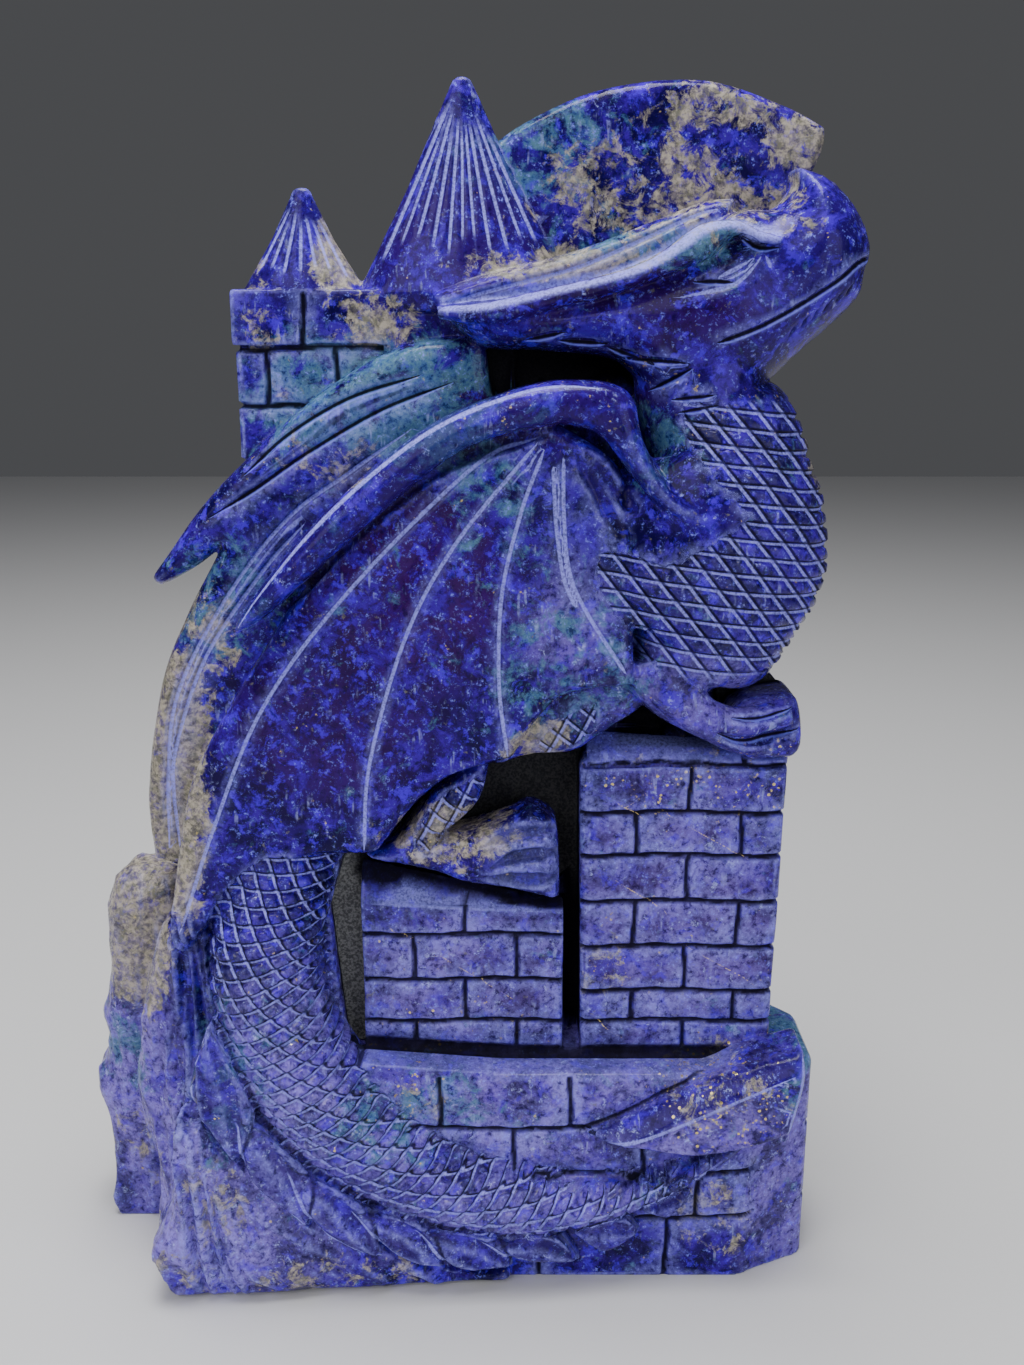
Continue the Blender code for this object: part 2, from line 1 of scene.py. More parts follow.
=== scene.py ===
"""Looks of a dragon on a brick castle, carved from one slab of polished blue stone.

The carving is built again from the sizes of the solid at a finer pitch. Every form is a
closed mesh, a voxel skin joins them into one stone, and joints, ribs, flutes and scales
are then ground into that skin. Lengths are millimetres on the drawing that the stone was
laid out on, with x to the right, y to the back and z up, until the finished stone is
moved into the frame in metres.
"""

import sys
import itertools
import logging
import math
from collections.abc import Callable, Iterator, Sequence
from dataclasses import dataclass, field
from enum import Enum

import bmesh
import bpy
import numpy as np
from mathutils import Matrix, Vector


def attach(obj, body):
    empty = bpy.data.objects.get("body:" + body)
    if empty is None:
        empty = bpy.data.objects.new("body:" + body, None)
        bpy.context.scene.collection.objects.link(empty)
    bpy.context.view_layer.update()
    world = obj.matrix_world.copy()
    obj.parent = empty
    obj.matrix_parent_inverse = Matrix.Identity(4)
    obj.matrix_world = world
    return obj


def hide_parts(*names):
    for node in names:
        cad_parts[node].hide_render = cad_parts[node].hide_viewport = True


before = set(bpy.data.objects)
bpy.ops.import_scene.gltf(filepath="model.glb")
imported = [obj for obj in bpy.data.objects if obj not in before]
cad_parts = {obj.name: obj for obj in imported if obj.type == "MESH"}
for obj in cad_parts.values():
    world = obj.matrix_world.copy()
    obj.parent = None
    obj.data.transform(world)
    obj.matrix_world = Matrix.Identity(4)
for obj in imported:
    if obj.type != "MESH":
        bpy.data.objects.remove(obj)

Array = np.ndarray
Spot = tuple[float, float]
Arcs = Sequence[Sequence[Spot]]
Socket = bpy.types.NodeSocket

NODE = "dragon_statue"
MM = 0.001
DRAWING_ORIGIN = np.array((-4.65, -2.71, 0.0))
VOXEL = 0.34
MOST_TRIANGLES = 194_000
FAR = 9.0
STONE_LOW = (-72.6, -22.6, 0)
STONE_HIGH = (63.6, 17.4, 206.8)
# Bend range that marks convex edges, made pale as worn edges and as a painted highlight.
WORN_AND_HIGHLIGHT_BEND = (0.025, 0.11)
THINNING = ((-1, 0.15, 1.0), (0.15, 0.5, 0.65), (0.5, FAR, 0.3))
THINNING_FACTOR = 0.004
# Hollow boxes with how pale each is; the less pale ones are painted near black as shade.
HOLLOWS = (((-30, -1.6, 36), (-17.5, 6, 78), 1.0), ((-19, 1.6, 70), (21, 9, 100), 0.66),
           ((16.8, -3, 42), (20.6, 4, 97), 0.58), ((2, -1, 157), (34, 7, 168), 0.6),
           ((26, -3, 97), (44, 8, 105.5), 0.6), ((43, -1, 104.5), (54, 6, 111), 0.7))
GOLDEN_VEINS = (((-8.7, 63), (12.6, 49)), ((11, 40.9), (13.7, 45.3)), ((-15.7, 66.8), (-9, 63)),
                ((21.6, 49), (28.1, 43.5)), ((24, 76), (38, 67)), ((33, 88), (50, 78)),
                ((39, 62), (53, 54)), ((22, 91.5), (31, 86)))

log = logging.getLogger("statue")


def show(item: bpy.types.Object) -> None:
    """Puts an object in the scene."""
    bpy.context.scene.collection.objects.link(item)


def curve(points: Sequence[Sequence[float]], spacing: float = 0.8) -> Array:
    """Draws a smooth curve through points.

    Args:
        points: The points it passes through, with any number of values each.
        spacing: The step along the curve, measured on the first two values.

    Returns:
        One row per step, with the end points included.
    """
    given = np.array(points, float)
    if len(given) == 2:
        steps = max(1, round(float(np.linalg.norm(given[1, :2] - given[0, :2])) / spacing))
        return np.linspace(given[0], given[1], steps + 1)
    given = np.vstack([2 * given[0] - given[1], given, 2 * given[-1] - given[-2]])
    rows = []
    for a, b, c, d in zip(given, given[1:], given[2:], given[3:]):
        steps = max(1, round(float(np.linalg.norm((c - b)[:2])) / spacing))
        t = np.arange(steps)[:, None] / steps
        bend = (2 * a - 5 * b + 4 * c - d) * t**2 + (3 * b - a - 3 * c + d) * t**3
        rows.append(0.5 * (2 * b + (c - a) * t + bend))
    return np.vstack([*rows, given[-2][None]])


def outline(arcs: Arcs, spacing: float = 0.7) -> Array:
    """Joins smooth arcs into a closed outline; each starts where the last one ends."""
    return np.vstack([curve(arc, spacing)[:-1] for arc in arcs])


def nearest(points: Array, line: Array, reach: float = math.inf) -> tuple[Array, Array, Array]:
    """Finds the closest place on a polyline for each point of a plane.

    Args:
        points: Rows of two coordinates.
        line: The polyline's rows of two coordinates.
        reach: Distances past this one aren't worked out and stay infinite.

    Returns:
        The distance, the row number along the line with its fraction, and the place.
    """
    best = np.full(len(points), np.inf)
    along = np.zeros(len(points))
    place = np.array(points, float)
    low, high = line.min(0) - reach, line.max(0) + reach
    near = np.flatnonzero(((points >= low) & (points <= high)).all(1))
    found, row, spot = best[near], along[near], place[near]
    query = points[near]
    for k, (a, b) in enumerate(zip(line, line[1:])):
        way = b - a
        share = np.clip((query - a) @ way / max(float(way @ way), 1e-12), 0, 1)
        at = a + share[:, None] * way
        gap = np.hypot(*(query - at).T)
        closer = gap < found
        found[closer] = gap[closer]
        row[closer] = k + share[closer]
        spot[closer] = at[closer]
    best[near], along[near], place[near] = found, row, spot
    return best, along, place


def signed(points: Array, line: Array, reach: float) -> tuple[Array, Array]:
    """Measures from a polyline, with its left side positive.

    Args:
        points: Rows of two coordinates.
        line: The polyline's rows of two coordinates.
        reach: Distances past this one stay infinite.

    Returns:
        The signed distance, and the share of the way along the line.
    """
    gap, along, place = nearest(points, line, reach)
    row = np.clip(along.astype(int), 0, len(line) - 2)
    way = line[row + 1] - line[row]
    off = points - place
    left = way[:, 0] * off[:, 1] - way[:, 1] * off[:, 0] >= 0
    return np.where(left, gap, -gap), along / (len(line) - 1)


def inside(points: Array, polygon: Array) -> Array:
    """Tells which points of the plane lie in a polygon.

    Args:
        points: Rows of two coordinates.
        polygon: The polygon's corners, in order.

    Returns:
        True for each point inside.
    """
    hit = np.zeros(len(points), bool)
    for a, b in zip(polygon, np.roll(polygon, -1, 0)):
        spans = (a[1] > points[:, 1]) != (b[1] > points[:, 1])
        rise = b[1] - a[1] if abs(b[1] - a[1]) > 1e-12 else 1e-12
        hit ^= spans & (points[:, 0] < (b[0] - a[0]) * (points[:, 1] - a[1]) / rise + a[0])
    return hit


def ease(value: Array, low: float, high: float) -> Array:
    """Rises smoothly from 0 at low to 1 at high; low may be the greater one."""
    share = np.clip((value - low) / (high - low), 0, 1)
    return share * share * (3 - 2 * share)


def dome(reach: Array, radius: float) -> Array:
    """Rises from 0 at a rim to 1 at radius from it, like a quarter circle."""
    share = np.clip(reach / radius, 0, 1)
    return np.sqrt(1 - (1 - share) ** 2)


def noise(points: Array, size: float, seed: int = 0) -> Array:
    """Gives smooth random values between -1 and 1.

    Args:
        points: Rows of three coordinates.
        size: The distance over which the value changes fully.
        seed: Picks another pattern.

    Returns:
        One value per point.
    """
    cell = points / size
    base = np.floor(cell).astype(np.int64)
    part = cell - base
    part = part * part * (3 - 2 * part)
    total = np.zeros(len(points))
    for corner in itertools.product((0, 1), repeat=3):
        at = base + np.array(corner)
        key = (at[:, 0] * 73856093) ^ (at[:, 1] * 19349663) ^ (at[:, 2] * 83492791) ^ (seed * 9176)
        value = ((key * 2654435761) % 4294967296) / 2147483648.0 - 1
        total += value * np.prod(np.where(corner, part, 1 - part), axis=1)
    return total


@dataclass
class Skin:
    """Points and triangles of a mesh."""

    points: Array
    triangles: Array

    @classmethod
    def joined(cls, skins: Sequence["Skin"]) -> "Skin":
        """Puts several meshes side by side in one."""
        shift = np.cumsum([0] + [len(skin.points) for skin in skins[:-1]])
        return cls(np.vstack([skin.points for skin in skins]),
                   np.vstack([skin.triangles + by for skin, by in zip(skins, shift)]))

    @classmethod
    def of_bmesh(cls, bm: bmesh.types.BMesh) -> "Skin":
        """Reads a BMesh, with its faces turned outwards, and frees it."""
        bmesh.ops.recalc_face_normals(bm, faces=bm.faces)
        bmesh.ops.triangulate(bm, faces=bm.faces[:])
        bm.verts.index_update()
        points = np.array([tuple(v.co) for v in bm.verts])
        triangles = np.array([tuple(v.index for v in f.verts) for f in bm.faces])
        if bm.calc_volume(signed=True) < 0:
            triangles = triangles[:, ::-1]
        bm.free()
        return cls(points, triangles)

    @classmethod
    def of_mesh(cls, mesh: bpy.types.Mesh) -> "Skin":
        """Reads a Blender mesh."""
        points = np.empty(len(mesh.vertices) * 3, np.float32)
        mesh.vertices.foreach_get("co", points)
        mesh.calc_loop_triangles()
        triangles = np.empty(len(mesh.loop_triangles) * 3, np.int32)
        mesh.loop_triangles.foreach_get("vertices", triangles)
        return cls(points.reshape(-1, 3).astype(float), triangles.reshape(-1, 3))

    def mesh(self, name: str) -> bpy.types.Mesh:
        """Writes a Blender mesh."""
        mesh = bpy.data.meshes.new(name)
        mesh.vertices.add(len(self.points))
        mesh.vertices.foreach_set("co", self.points.astype(np.float32).ravel())
        mesh.loops.add(self.triangles.size)
        mesh.loops.foreach_set("vertex_index", self.triangles.astype(np.int32).ravel())
        mesh.polygons.add(len(self.triangles))
        starts = np.arange(len(self.triangles), dtype=np.int32) * 3
        mesh.polygons.foreach_set("loop_start", starts)
        mesh.update(calc_edges=True)
        return mesh

    def edges(self) -> Array:
        """Lists every edge once."""
        ends = np.vstack([self.triangles[:, [0, 1]], self.triangles[:, [1, 2]],
                          self.triangles[:, [2, 0]]])
        ends = np.sort(ends, axis=1)
        keys = np.unique(ends[:, 0].astype(np.int64) * len(self.points) + ends[:, 1])
        return np.stack([keys // len(self.points), keys % len(self.points)], 1)

    def normals(self) -> Array:
        """Gives each point's outward direction."""
        a, b, c = (self.points[self.triangles[:, k]] for k in range(3))
        across = np.cross(b - a, c - a)
        total = np.stack([sum(np.bincount(self.triangles[:, k], across[:, axis],
                                          len(self.points)) for k in range(3))
                          for axis in range(3)], 1)
        return total / np.maximum(np.linalg.norm(total, axis=1, keepdims=True), 1e-12)

    def smoothed(self, values: Array, edges: Array, rounds: int, share: float = 0.5) -> Array:
        """Averages values over each point's neighbours.

        Args:
            values: One row per point.
            edges: What edges() gives.
            rounds: How many times to average.
            share: How far each value moves to its neighbours' mean.

        Returns:
            The averaged values.
        """
        count = len(self.points)
        ends = np.concatenate([edges[:, 0], edges[:, 1]])
        others = np.concatenate([edges[:, 1], edges[:, 0]])
        degree = np.maximum(np.bincount(ends, minlength=count), 1)
        out = np.array(values, float).reshape(count, -1)
        for _ in range(rounds):
            mean = np.stack([np.bincount(ends, column[others], count) / degree
                             for column in out.T], 1)
            out += share * (mean - out)
        return out.reshape(np.shape(values))


@dataclass
class Slab:
    """A form cut from the front, with an outline, two nearly level faces and round rims."""

    arcs: Arcs
    front: float
    back: float
    bulge: float = 3.0
    roundness: float = 4.0
    slope: Spot = (0.0, 0.0)
    swell: Callable[[Array, Array], Array] | None = None
    pitch: float = 0.6

    def depths(self, spots: Array, reach: Array) -> tuple[Array, Array]:
        """Gives the depth of both faces.

        Args:
            spots: Rows of x and z.
            reach: How far each one lies from the outline.

        Returns:
            The front's y and the back's y.
        """
        fall = self.bulge * (1 - dome(reach, self.roundness))
        tilt = spots @ np.array(self.slope)
        front = self.front + tilt + fall
        if self.swell:
            front = front + self.swell(spots, reach)
        middle = (self.front + self.back) / 2
        return np.minimum(front, middle - 0.2), np.maximum(self.back + tilt - fall, middle + 0.2)

    def skin(self) -> Skin:
        """Builds the closed form on a grid whose rim is moved onto the outline."""
        edge = outline(self.arcs)
        closed = np.vstack([edge, edge[:1]])
        low, high = edge.min(0) - self.pitch, edge.max(0) + self.pitch
        xs, zs = (np.arange(low[k], high[k] + self.pitch, self.pitch) for k in range(2))
        spots = np.stack(np.meshgrid(xs, zs), -1).reshape(-1, 2)
        reach, _, rim = nearest(spots, closed)
        reach = np.where(inside(spots, edge), reach, -reach)
        kept = reach > -0.5 * self.pitch
        corner = (np.arange(len(zs) - 1)[:, None] * len(xs) + np.arange(len(xs) - 1)).ravel()
        cells = np.stack([corner, corner + 1, corner + len(xs) + 1, corner + len(xs)], 1)
        cells = cells[kept[cells].all(1)]
        cells = cells[(reach[cells] > 0).any(1)]
        ends = np.vstack([cells[:, [k, (k + 1) % 4]] for k in range(4)]).astype(np.int64)
        forth, back_way = (ends[:, a] * len(spots) + ends[:, b] for a, b in ((0, 1), (1, 0)))
        border = ends[~np.isin(forth, back_way)]
        snap = np.abs(reach) < 0.5 * self.pitch
        snap[border] = True
        spots = np.where(snap[:, None], rim, spots)
        reach = np.where(snap, 0, np.maximum(reach, 0))
        front, back = self.depths(spots, reach)
        count = len(spots)
        points = np.vstack([np.column_stack([spots[:, 0], y, spots[:, 1]]) for y in (front, back)])
        faces = np.vstack([cells[:, [0, 1, 2]], cells[:, [0, 2, 3]],
                           cells[:, [2, 1, 0]] + count, cells[:, [3, 2, 0]] + count,
                           np.column_stack([border[:, 1], border[:, 0], border[:, 0] + count]),
                           np.column_stack([border[:, 1], border[:, 0] + count,
                                            border[:, 1] + count])])
        return Skin(points, faces)


@dataclass
class Tube:
    """A round form along stations of x, z, half width, y and half depth."""

    stations: Sequence[Sequence[float]]
    columns: int = 64
    pitch: float = 0.7

    def __post_init__(self) -> None:
        """Works out the rows along the form."""
        path = curve(self.stations, 0.4)
        steps = np.hypot(*np.diff(path[:, :2], axis=0).T)
        length = np.concatenate([[0], np.cumsum(steps)])
        at = np.linspace(0, length[-1], max(4, round(length[-1] / self.pitch)))
        self.rows = np.stack([np.interp(at, length, path[:, k]) for k in range(5)], 1)

    def skin(self) -> Skin:
        """Builds the closed form."""
        step = np.gradient(self.rows[:, :2], axis=0)
        step /= np.linalg.norm(step, axis=1, keepdims=True)
        turn = 2 * math.pi * np.arange(self.columns) / self.columns
        x, z, width, y, depth = self.rows.T[:, :, None]
        across = width * np.cos(turn)
        points = np.stack([x - step[:, 1:] * across, y - depth * np.sin(turn),
                           z + step[:, :1] * across], -1).reshape(-1, 3)
        count = len(self.rows)
        ring = np.arange(self.columns)
        after = (ring + 1) % self.columns
        base = (np.arange(count - 1) * self.columns)[:, None]
        a, b = (base + ring).ravel(), (base + after).ravel()
        c, d = b + self.columns, a + self.columns
        first, last = len(points), len(points) + 1
        end = (count - 1) * self.columns
        caps = [self.rows[k][[0, 3, 1]] for k in (0, -1)]
        faces = np.vstack([np.column_stack([a, b, c]), np.column_stack([a, c, d]),
                           np.column_stack([np.full(len(ring), first), after, ring]),
                           np.column_stack([np.full(len(ring), last), end + ring, end + after])])
        skin = Skin(np.vstack([points, *caps]), faces)
        corners = skin.points[skin.triangles]
        if np.linalg.det(corners - self.rows[0][[0, 3, 1]]).sum() < 0:
            skin.triangles = skin.triangles[:, ::-1]
        return skin

    def place(self, points: Array) -> tuple[Array, Array]:
        """Finds points along the form.

        Args:
            points: Rows of three coordinates.

        Returns:
            How far along it each point lies, and how far to the left of its middle.
        """
        steps = np.hypot(*np.diff(self.rows[:, :2], axis=0).T)
        length = np.concatenate([[0], np.cumsum(steps)])
        off, share = signed(points[:, [0, 2]], self.rows[:, :2], 60)
        return np.interp(share * (len(self.rows) - 1), np.arange(len(self.rows)), length), off

    def on_surface(self, points: Array, slack: float = 0.12) -> Array:
        """Tells which points lie on the form's wall rather than on something in front.

        Args:
            points: Rows of three coordinates.
            slack: The share of the form's size by which they may be off.

        Returns:
            True for each point on the wall.
        """
        reach = float(self.rows[:, 2].max()) * 1.2
        gap, along, _ = nearest(points[:, [0, 2]], self.rows[:, :2], reach)
        width, y, depth = (np.interp(along, np.arange(len(self.rows)), self.rows[:, k])
                           for k in (2, 3, 4))
        ring = np.hypot(gap / width, (points[:, 1] - y) / depth)
        return np.abs(ring - 1) < slack


def block(low: Sequence[float], high: Sequence[float], radius: float = 0.9,
          flare: float = 0.0) -> Skin:
    """Builds a box with rounded edges.

    Args:
        low: The lowest corner.
        high: The highest corner.
        radius: How far the edges are rounded off.
        flare: How much each end of the top reaches further along x.

    Returns:
        The closed form.
    """
    bm = bmesh.new()
    bmesh.ops.create_cube(bm, size=1)
    middle, size = (Vector(low) + Vector(high)) / 2, Vector(high) - Vector(low)
    for vert in bm.verts:
        top, side = vert.co.z > 0, math.copysign(1, vert.co.x)
        vert.co = middle + Vector([c * s for c, s in zip(vert.co, size)])
        vert.co.x += flare * side if top else 0
    bmesh.ops.bevel(bm, geom=bm.edges[:], offset=radius, segments=3, profile=0.5, affect="EDGES")
    return Skin.of_bmesh(bm)


def prism(plan: Sequence[Spot], bottom: float, top: float, radius: float = 0.9) -> Skin:
    """Builds an upright form with its upper edges rounded.

    Args:
        plan: The corners of its plan, as x and y.
        bottom: The height of its foot.
        top: The height of its top.
        radius: How far the edges are rounded off.

    Returns:
        The closed form.
    """
    bm = bmesh.new()
    foot = [bm.verts.new((x, y, bottom)) for x, y in plan]
    head = [bm.verts.new((x, y, top)) for x, y in plan]
    bm.faces.new(foot)
    bm.faces.new(head)
    for k in range(len(plan)):
        after = (k + 1) % len(plan)
        bm.faces.new((foot[k], foot[after], head[after], head[k]))
    rims = [e for e in bm.edges if max(v.co.z for v in e.verts) > bottom + 1e-6]
    bmesh.ops.bevel(bm, geom=rims, offset=radius, segments=3, profile=0.5, affect="EDGES")
    return Skin.of_bmesh(bm)


def hull(points: Sequence[Sequence[float]]) -> Skin:
    """Builds the tightest form with flat faces round the points."""
    bm = bmesh.new()
    bmesh.ops.convex_hull(bm, input=[bm.verts.new(point) for point in points])
    return Skin.of_bmesh(bm)


@dataclass
class Cone:
    """A flattened cone roof with a blunt tip."""

    x: float
    y: float
    foot: float
    radius: float
    height: float
    share: float
    tip: float = 0.1
    columns: int = 96

    def skin(self) -> Skin:
        """Builds the closed form."""
        levels = ((-3.0, 0.9), (-0.6, 0.985), (0.0, 1.0), (0.5, 0.985),
                  (0.5 * self.height, 0.51), (0.9 * self.height, 0.8 * self.tip + 0.08),
                  (0.95 * self.height, 1.15 * self.tip), (0.98 * self.height, 0.9 * self.tip),
                  (self.height, 0.4 * self.tip))
        bm = bmesh.new()
        rings = []
        for lift, share in levels:
            turns = [2 * math.pi * k / self.columns for k in range(self.columns)]
            rings.append([bm.verts.new((self.x + self.radius * share * math.cos(turn),
                                        self.y + self.share * self.radius * share * math.sin(turn),
                                        self.foot + lift)) for turn in turns])
        for below, above in zip(rings, rings[1:]):
            for k in range(self.columns):
                after = (k + 1) % self.columns
                bm.faces.new((below[k], below[after], above[after], above[k]))
        bm.faces.new(rings[0])
        bm.faces.new(rings[-1])
        return Skin.of_bmesh(bm)

    def across(self, points: Array) -> tuple[Array, Array]:
        """Gives each point's place on the cone.

        Args:
            points: Rows of three coordinates.

        Returns:
            The place from -1 at the left side to 1 at the right, and the share of the height.
        """
        rise = (points[:, 2] - self.foot) / self.height
        wide = self.radius * np.maximum(1 - rise, 0.02)
        return (points[:, 0] - self.x) / wide, rise


class Side(Enum):
    """The way a wall faces."""

    FRONT = -1
    BACK = 1


class Stroke(Enum):
    """The kinds of thin line drawn on the stone, by the name of their distance attribute."""

    # Pale lines are ground powder, and along some rims painted highlights.
    PALE_AND_HIGHLIGHT = "pale_and_highlight_line"
    DARK = "dark_line"
    VEIN = "gold_line"


class Stone:
    """The skin of the whole statue while it is carved."""

    def __init__(self, skin: Skin) -> None:
        """Takes the skin as it is before any carving."""
        self.skin = skin
        self.points = skin.points
        self.normals = skin.normals()
        count = len(self.points)
        self.depth = np.zeros(count)
        # The pale layer also holds painted highlights, and the dark layer painted shade.
        self.dust_and_highlight = np.zeros(count)
        self.dark_and_shade = np.zeros(count)
        self.lines = {stroke: np.full(count, FAR) for stroke in Stroke}
        self.steep = np.zeros(count)
        self.flat = np.zeros(count)
        self.scales = np.zeros(count)
        self.flute = np.zeros(count)
        self.flute_gap = np.zeros(count)
        self.fluted = np.zeros(count)
        self.rich = np.zeros(count)

    def pick(self, low: Sequence[float], high: Sequence[float],
             side: Side | None = None) -> Array:
        """Lists the points in a box.

        Args:
            low: The box's lowest corner.
            high: Its highest corner.
            side: Keeps only the points that face this side.

        Returns:
            The numbers of the points.
        """
        found = ((self.points >= low) & (self.points <= high)).all(1)
        if side:
            found &= self.normals[:, 1] * side.value > 0.25
        return np.flatnonzero(found)

    def cut(self, where: Array, gap: Array, half_width: float, depth: Array | float,
            dust_and_highlight: float = 0.0, dark_and_shade: float = 0.0) -> None:
        """Grinds a groove.

        Args:
            where: The points that it may touch.
            gap: Their distances from its middle line.
            half_width: How far it reaches to each side.
            depth: How deep it is on its middle line.
            dust_and_highlight: How powdery and pale it is left, from 0 to 1.
            dark_and_shade: How dark it is left, from 0 to 1.
        """
        share = ease(gap / half_width, 1.0, 0.4)
        self.depth[where] = np.maximum(self.depth[where], share * depth)
        stain = ease(gap / half_width, 1.1, 0.6)
        strength = np.where(np.asarray(depth) > 0, 1.0, 0.0) * stain
        self.dust_and_highlight[where] = np.maximum(self.dust_and_highlight[where], dust_and_highlight * strength)
        self.dark_and_shade[where] = np.maximum(self.dark_and_shade[where], dark_and_shade * strength)

    def paint(self, layer: Array, where: Array, strength: Array | float) -> None:
        """Raises one of the stone's layers to a strength where it is lower."""
        layer[where] = np.maximum(layer[where], strength)

    def mark(self, where: Array, offset: Array, stroke: Stroke) -> None:
        """Keeps the signed distance to the closest line of one kind.

        Args:
            where: The points near the line.
            offset: Their signed distances from it.
            stroke: The kind of line.
        """
        kept = self.lines[stroke]
        closer = np.abs(offset) < np.abs(kept[where])
        kept[where[closer]] = offset[closer]

    def trace(self, where: Array, line: Array, half_width: float, depth: float,
              stroke: Stroke | None = None, dust_and_highlight: float = 0.0, dark_and_shade: float = 0.0,
              fade: float = 0.12) -> None:
        """Grinds a groove along a line of x and z, narrower and shallower towards its ends.

        Args:
            where: The points that it may touch.
            line: The middle of the groove.
            half_width: How far it reaches to each side.
            depth: How deep it is.
            stroke: The kind of thin line drawn on its bottom, if any.
            dust_and_highlight: How powdery and pale it is left.
            dark_and_shade: How dark it is left.
            fade: The share of its length over which each end runs out.
        """
        way = line if line[-1, 0] >= line[0, 0] else line[::-1]
        offset, share = signed(self.points[where][:, [0, 2]], way, 2.2 + half_width)
        hit = np.isfinite(offset)
        ends = np.clip(np.minimum(share[hit], 1 - share[hit]) / max(fade, 1e-6), 0, 1)
        off = offset[hit] / (0.25 + 0.75 * ends)
        self.cut(where[hit], np.abs(off), half_width, depth * (0.3 + 0.7 * ends), dust_and_highlight, dark_and_shade)
        if stroke:
            self.mark(where[hit], off, stroke)


@dataclass
class Brickwork:
    """Joints cut into one wall: a line on top of each course and upright ones between."""

    left: float
    right: float
    bottom: float
    courses: Sequence[float]
    length: float
    phases: Sequence[float]
    face: float
    side: Side = Side.FRONT
    half_width: float = 0.56
    depth: float = 1.0
    margin: float = 2.5

    def carve(self, stone: Stone) -> None:
        """Grinds the joints, a little out of true as by hand.

        Args:
            stone: The whole stone.
        """
        top = self.bottom + sum(self.courses)
        where = stone.pick((self.left - 2, self.face - 1.8, self.bottom - 1),
                           (self.right + 2, self.face + 1.8, top + 1), self.side)
        x, _, z = stone.points[where].T
        wave = 0.22 * np.sin(0.21 * x + self.bottom) + 0.1 * np.sin(0.9 * x)
        lean = 0.18 * np.sin(0.5 * z + self.left)
        height = self.bottom
        for row, course in enumerate(self.courses):
            if row:
                stone.cut(where, np.abs(z + wave - height), self.half_width, self.depth, 0.1, 1.0)
            start = self.left + self.length * self.phases[row % len(self.phases)]
            for joint in np.arange(start, self.right - self.margin, self.length):
                if joint < self.left + self.margin:
                    continue
                past = np.maximum(np.abs(z + wave - height - course / 2) - course / 2, 0)
                gap = np.hypot(x + lean - joint, past * 2)
                stone.cut(where, gap, self.half_width * 0.95, self.depth, 0.1, 0.95)
            height += course


@dataclass
class Hatching:
    """Scales made by two crossing sets of ground lines on a part of the stone."""

    steep: float = -51.0
    steep_gap: float = 3.1
    flat: float = -7.0
    flat_gap: float = 2.75
    half_width: float = 0.62
    depth: float = 0.62

    def straight(self, points: Array) -> list[Array]:
        """Counts the lines of both sets across the stone, where they are straight.

        Args:
            points: Rows of three coordinates.

        Returns:
            The number of lines passed at each point, for both sets.
        """
        counts = []
        for angle, gap in ((self.steep, self.steep_gap), (self.flat, self.flat_gap)):
            turn = math.radians(angle)
            counts.append((points[:, 2] * math.cos(turn) - points[:, 0] * math.sin(turn)) / gap)
        return counts

    def carve(self, stone: Stone, where: Array, strength: Array,
              counts: Sequence[Array] | None = None) -> None:
        """Grinds both sets of lines.

        Args:
            stone: The stone.
            where: The points that they may touch.
            strength: How deep they go at each of them, from 0 to 1.
            counts: The number of lines passed at each point for both sets, or none if straight.
        """
        points = stone.points[where]
        drift = 0.07 * noise(points, 6.0, 3)
        counts = [count + drift for count in counts or self.straight(points)]
        for count, gap in zip(counts, (self.steep_gap, self.flat_gap)):
            away = np.abs(count - np.round(count)) * gap
            stone.cut(where, away, self.half_width, self.depth * strength, 0.0, 0.0)
        stone.steep[where], stone.flat[where] = counts
        stone.scales[where] = strength


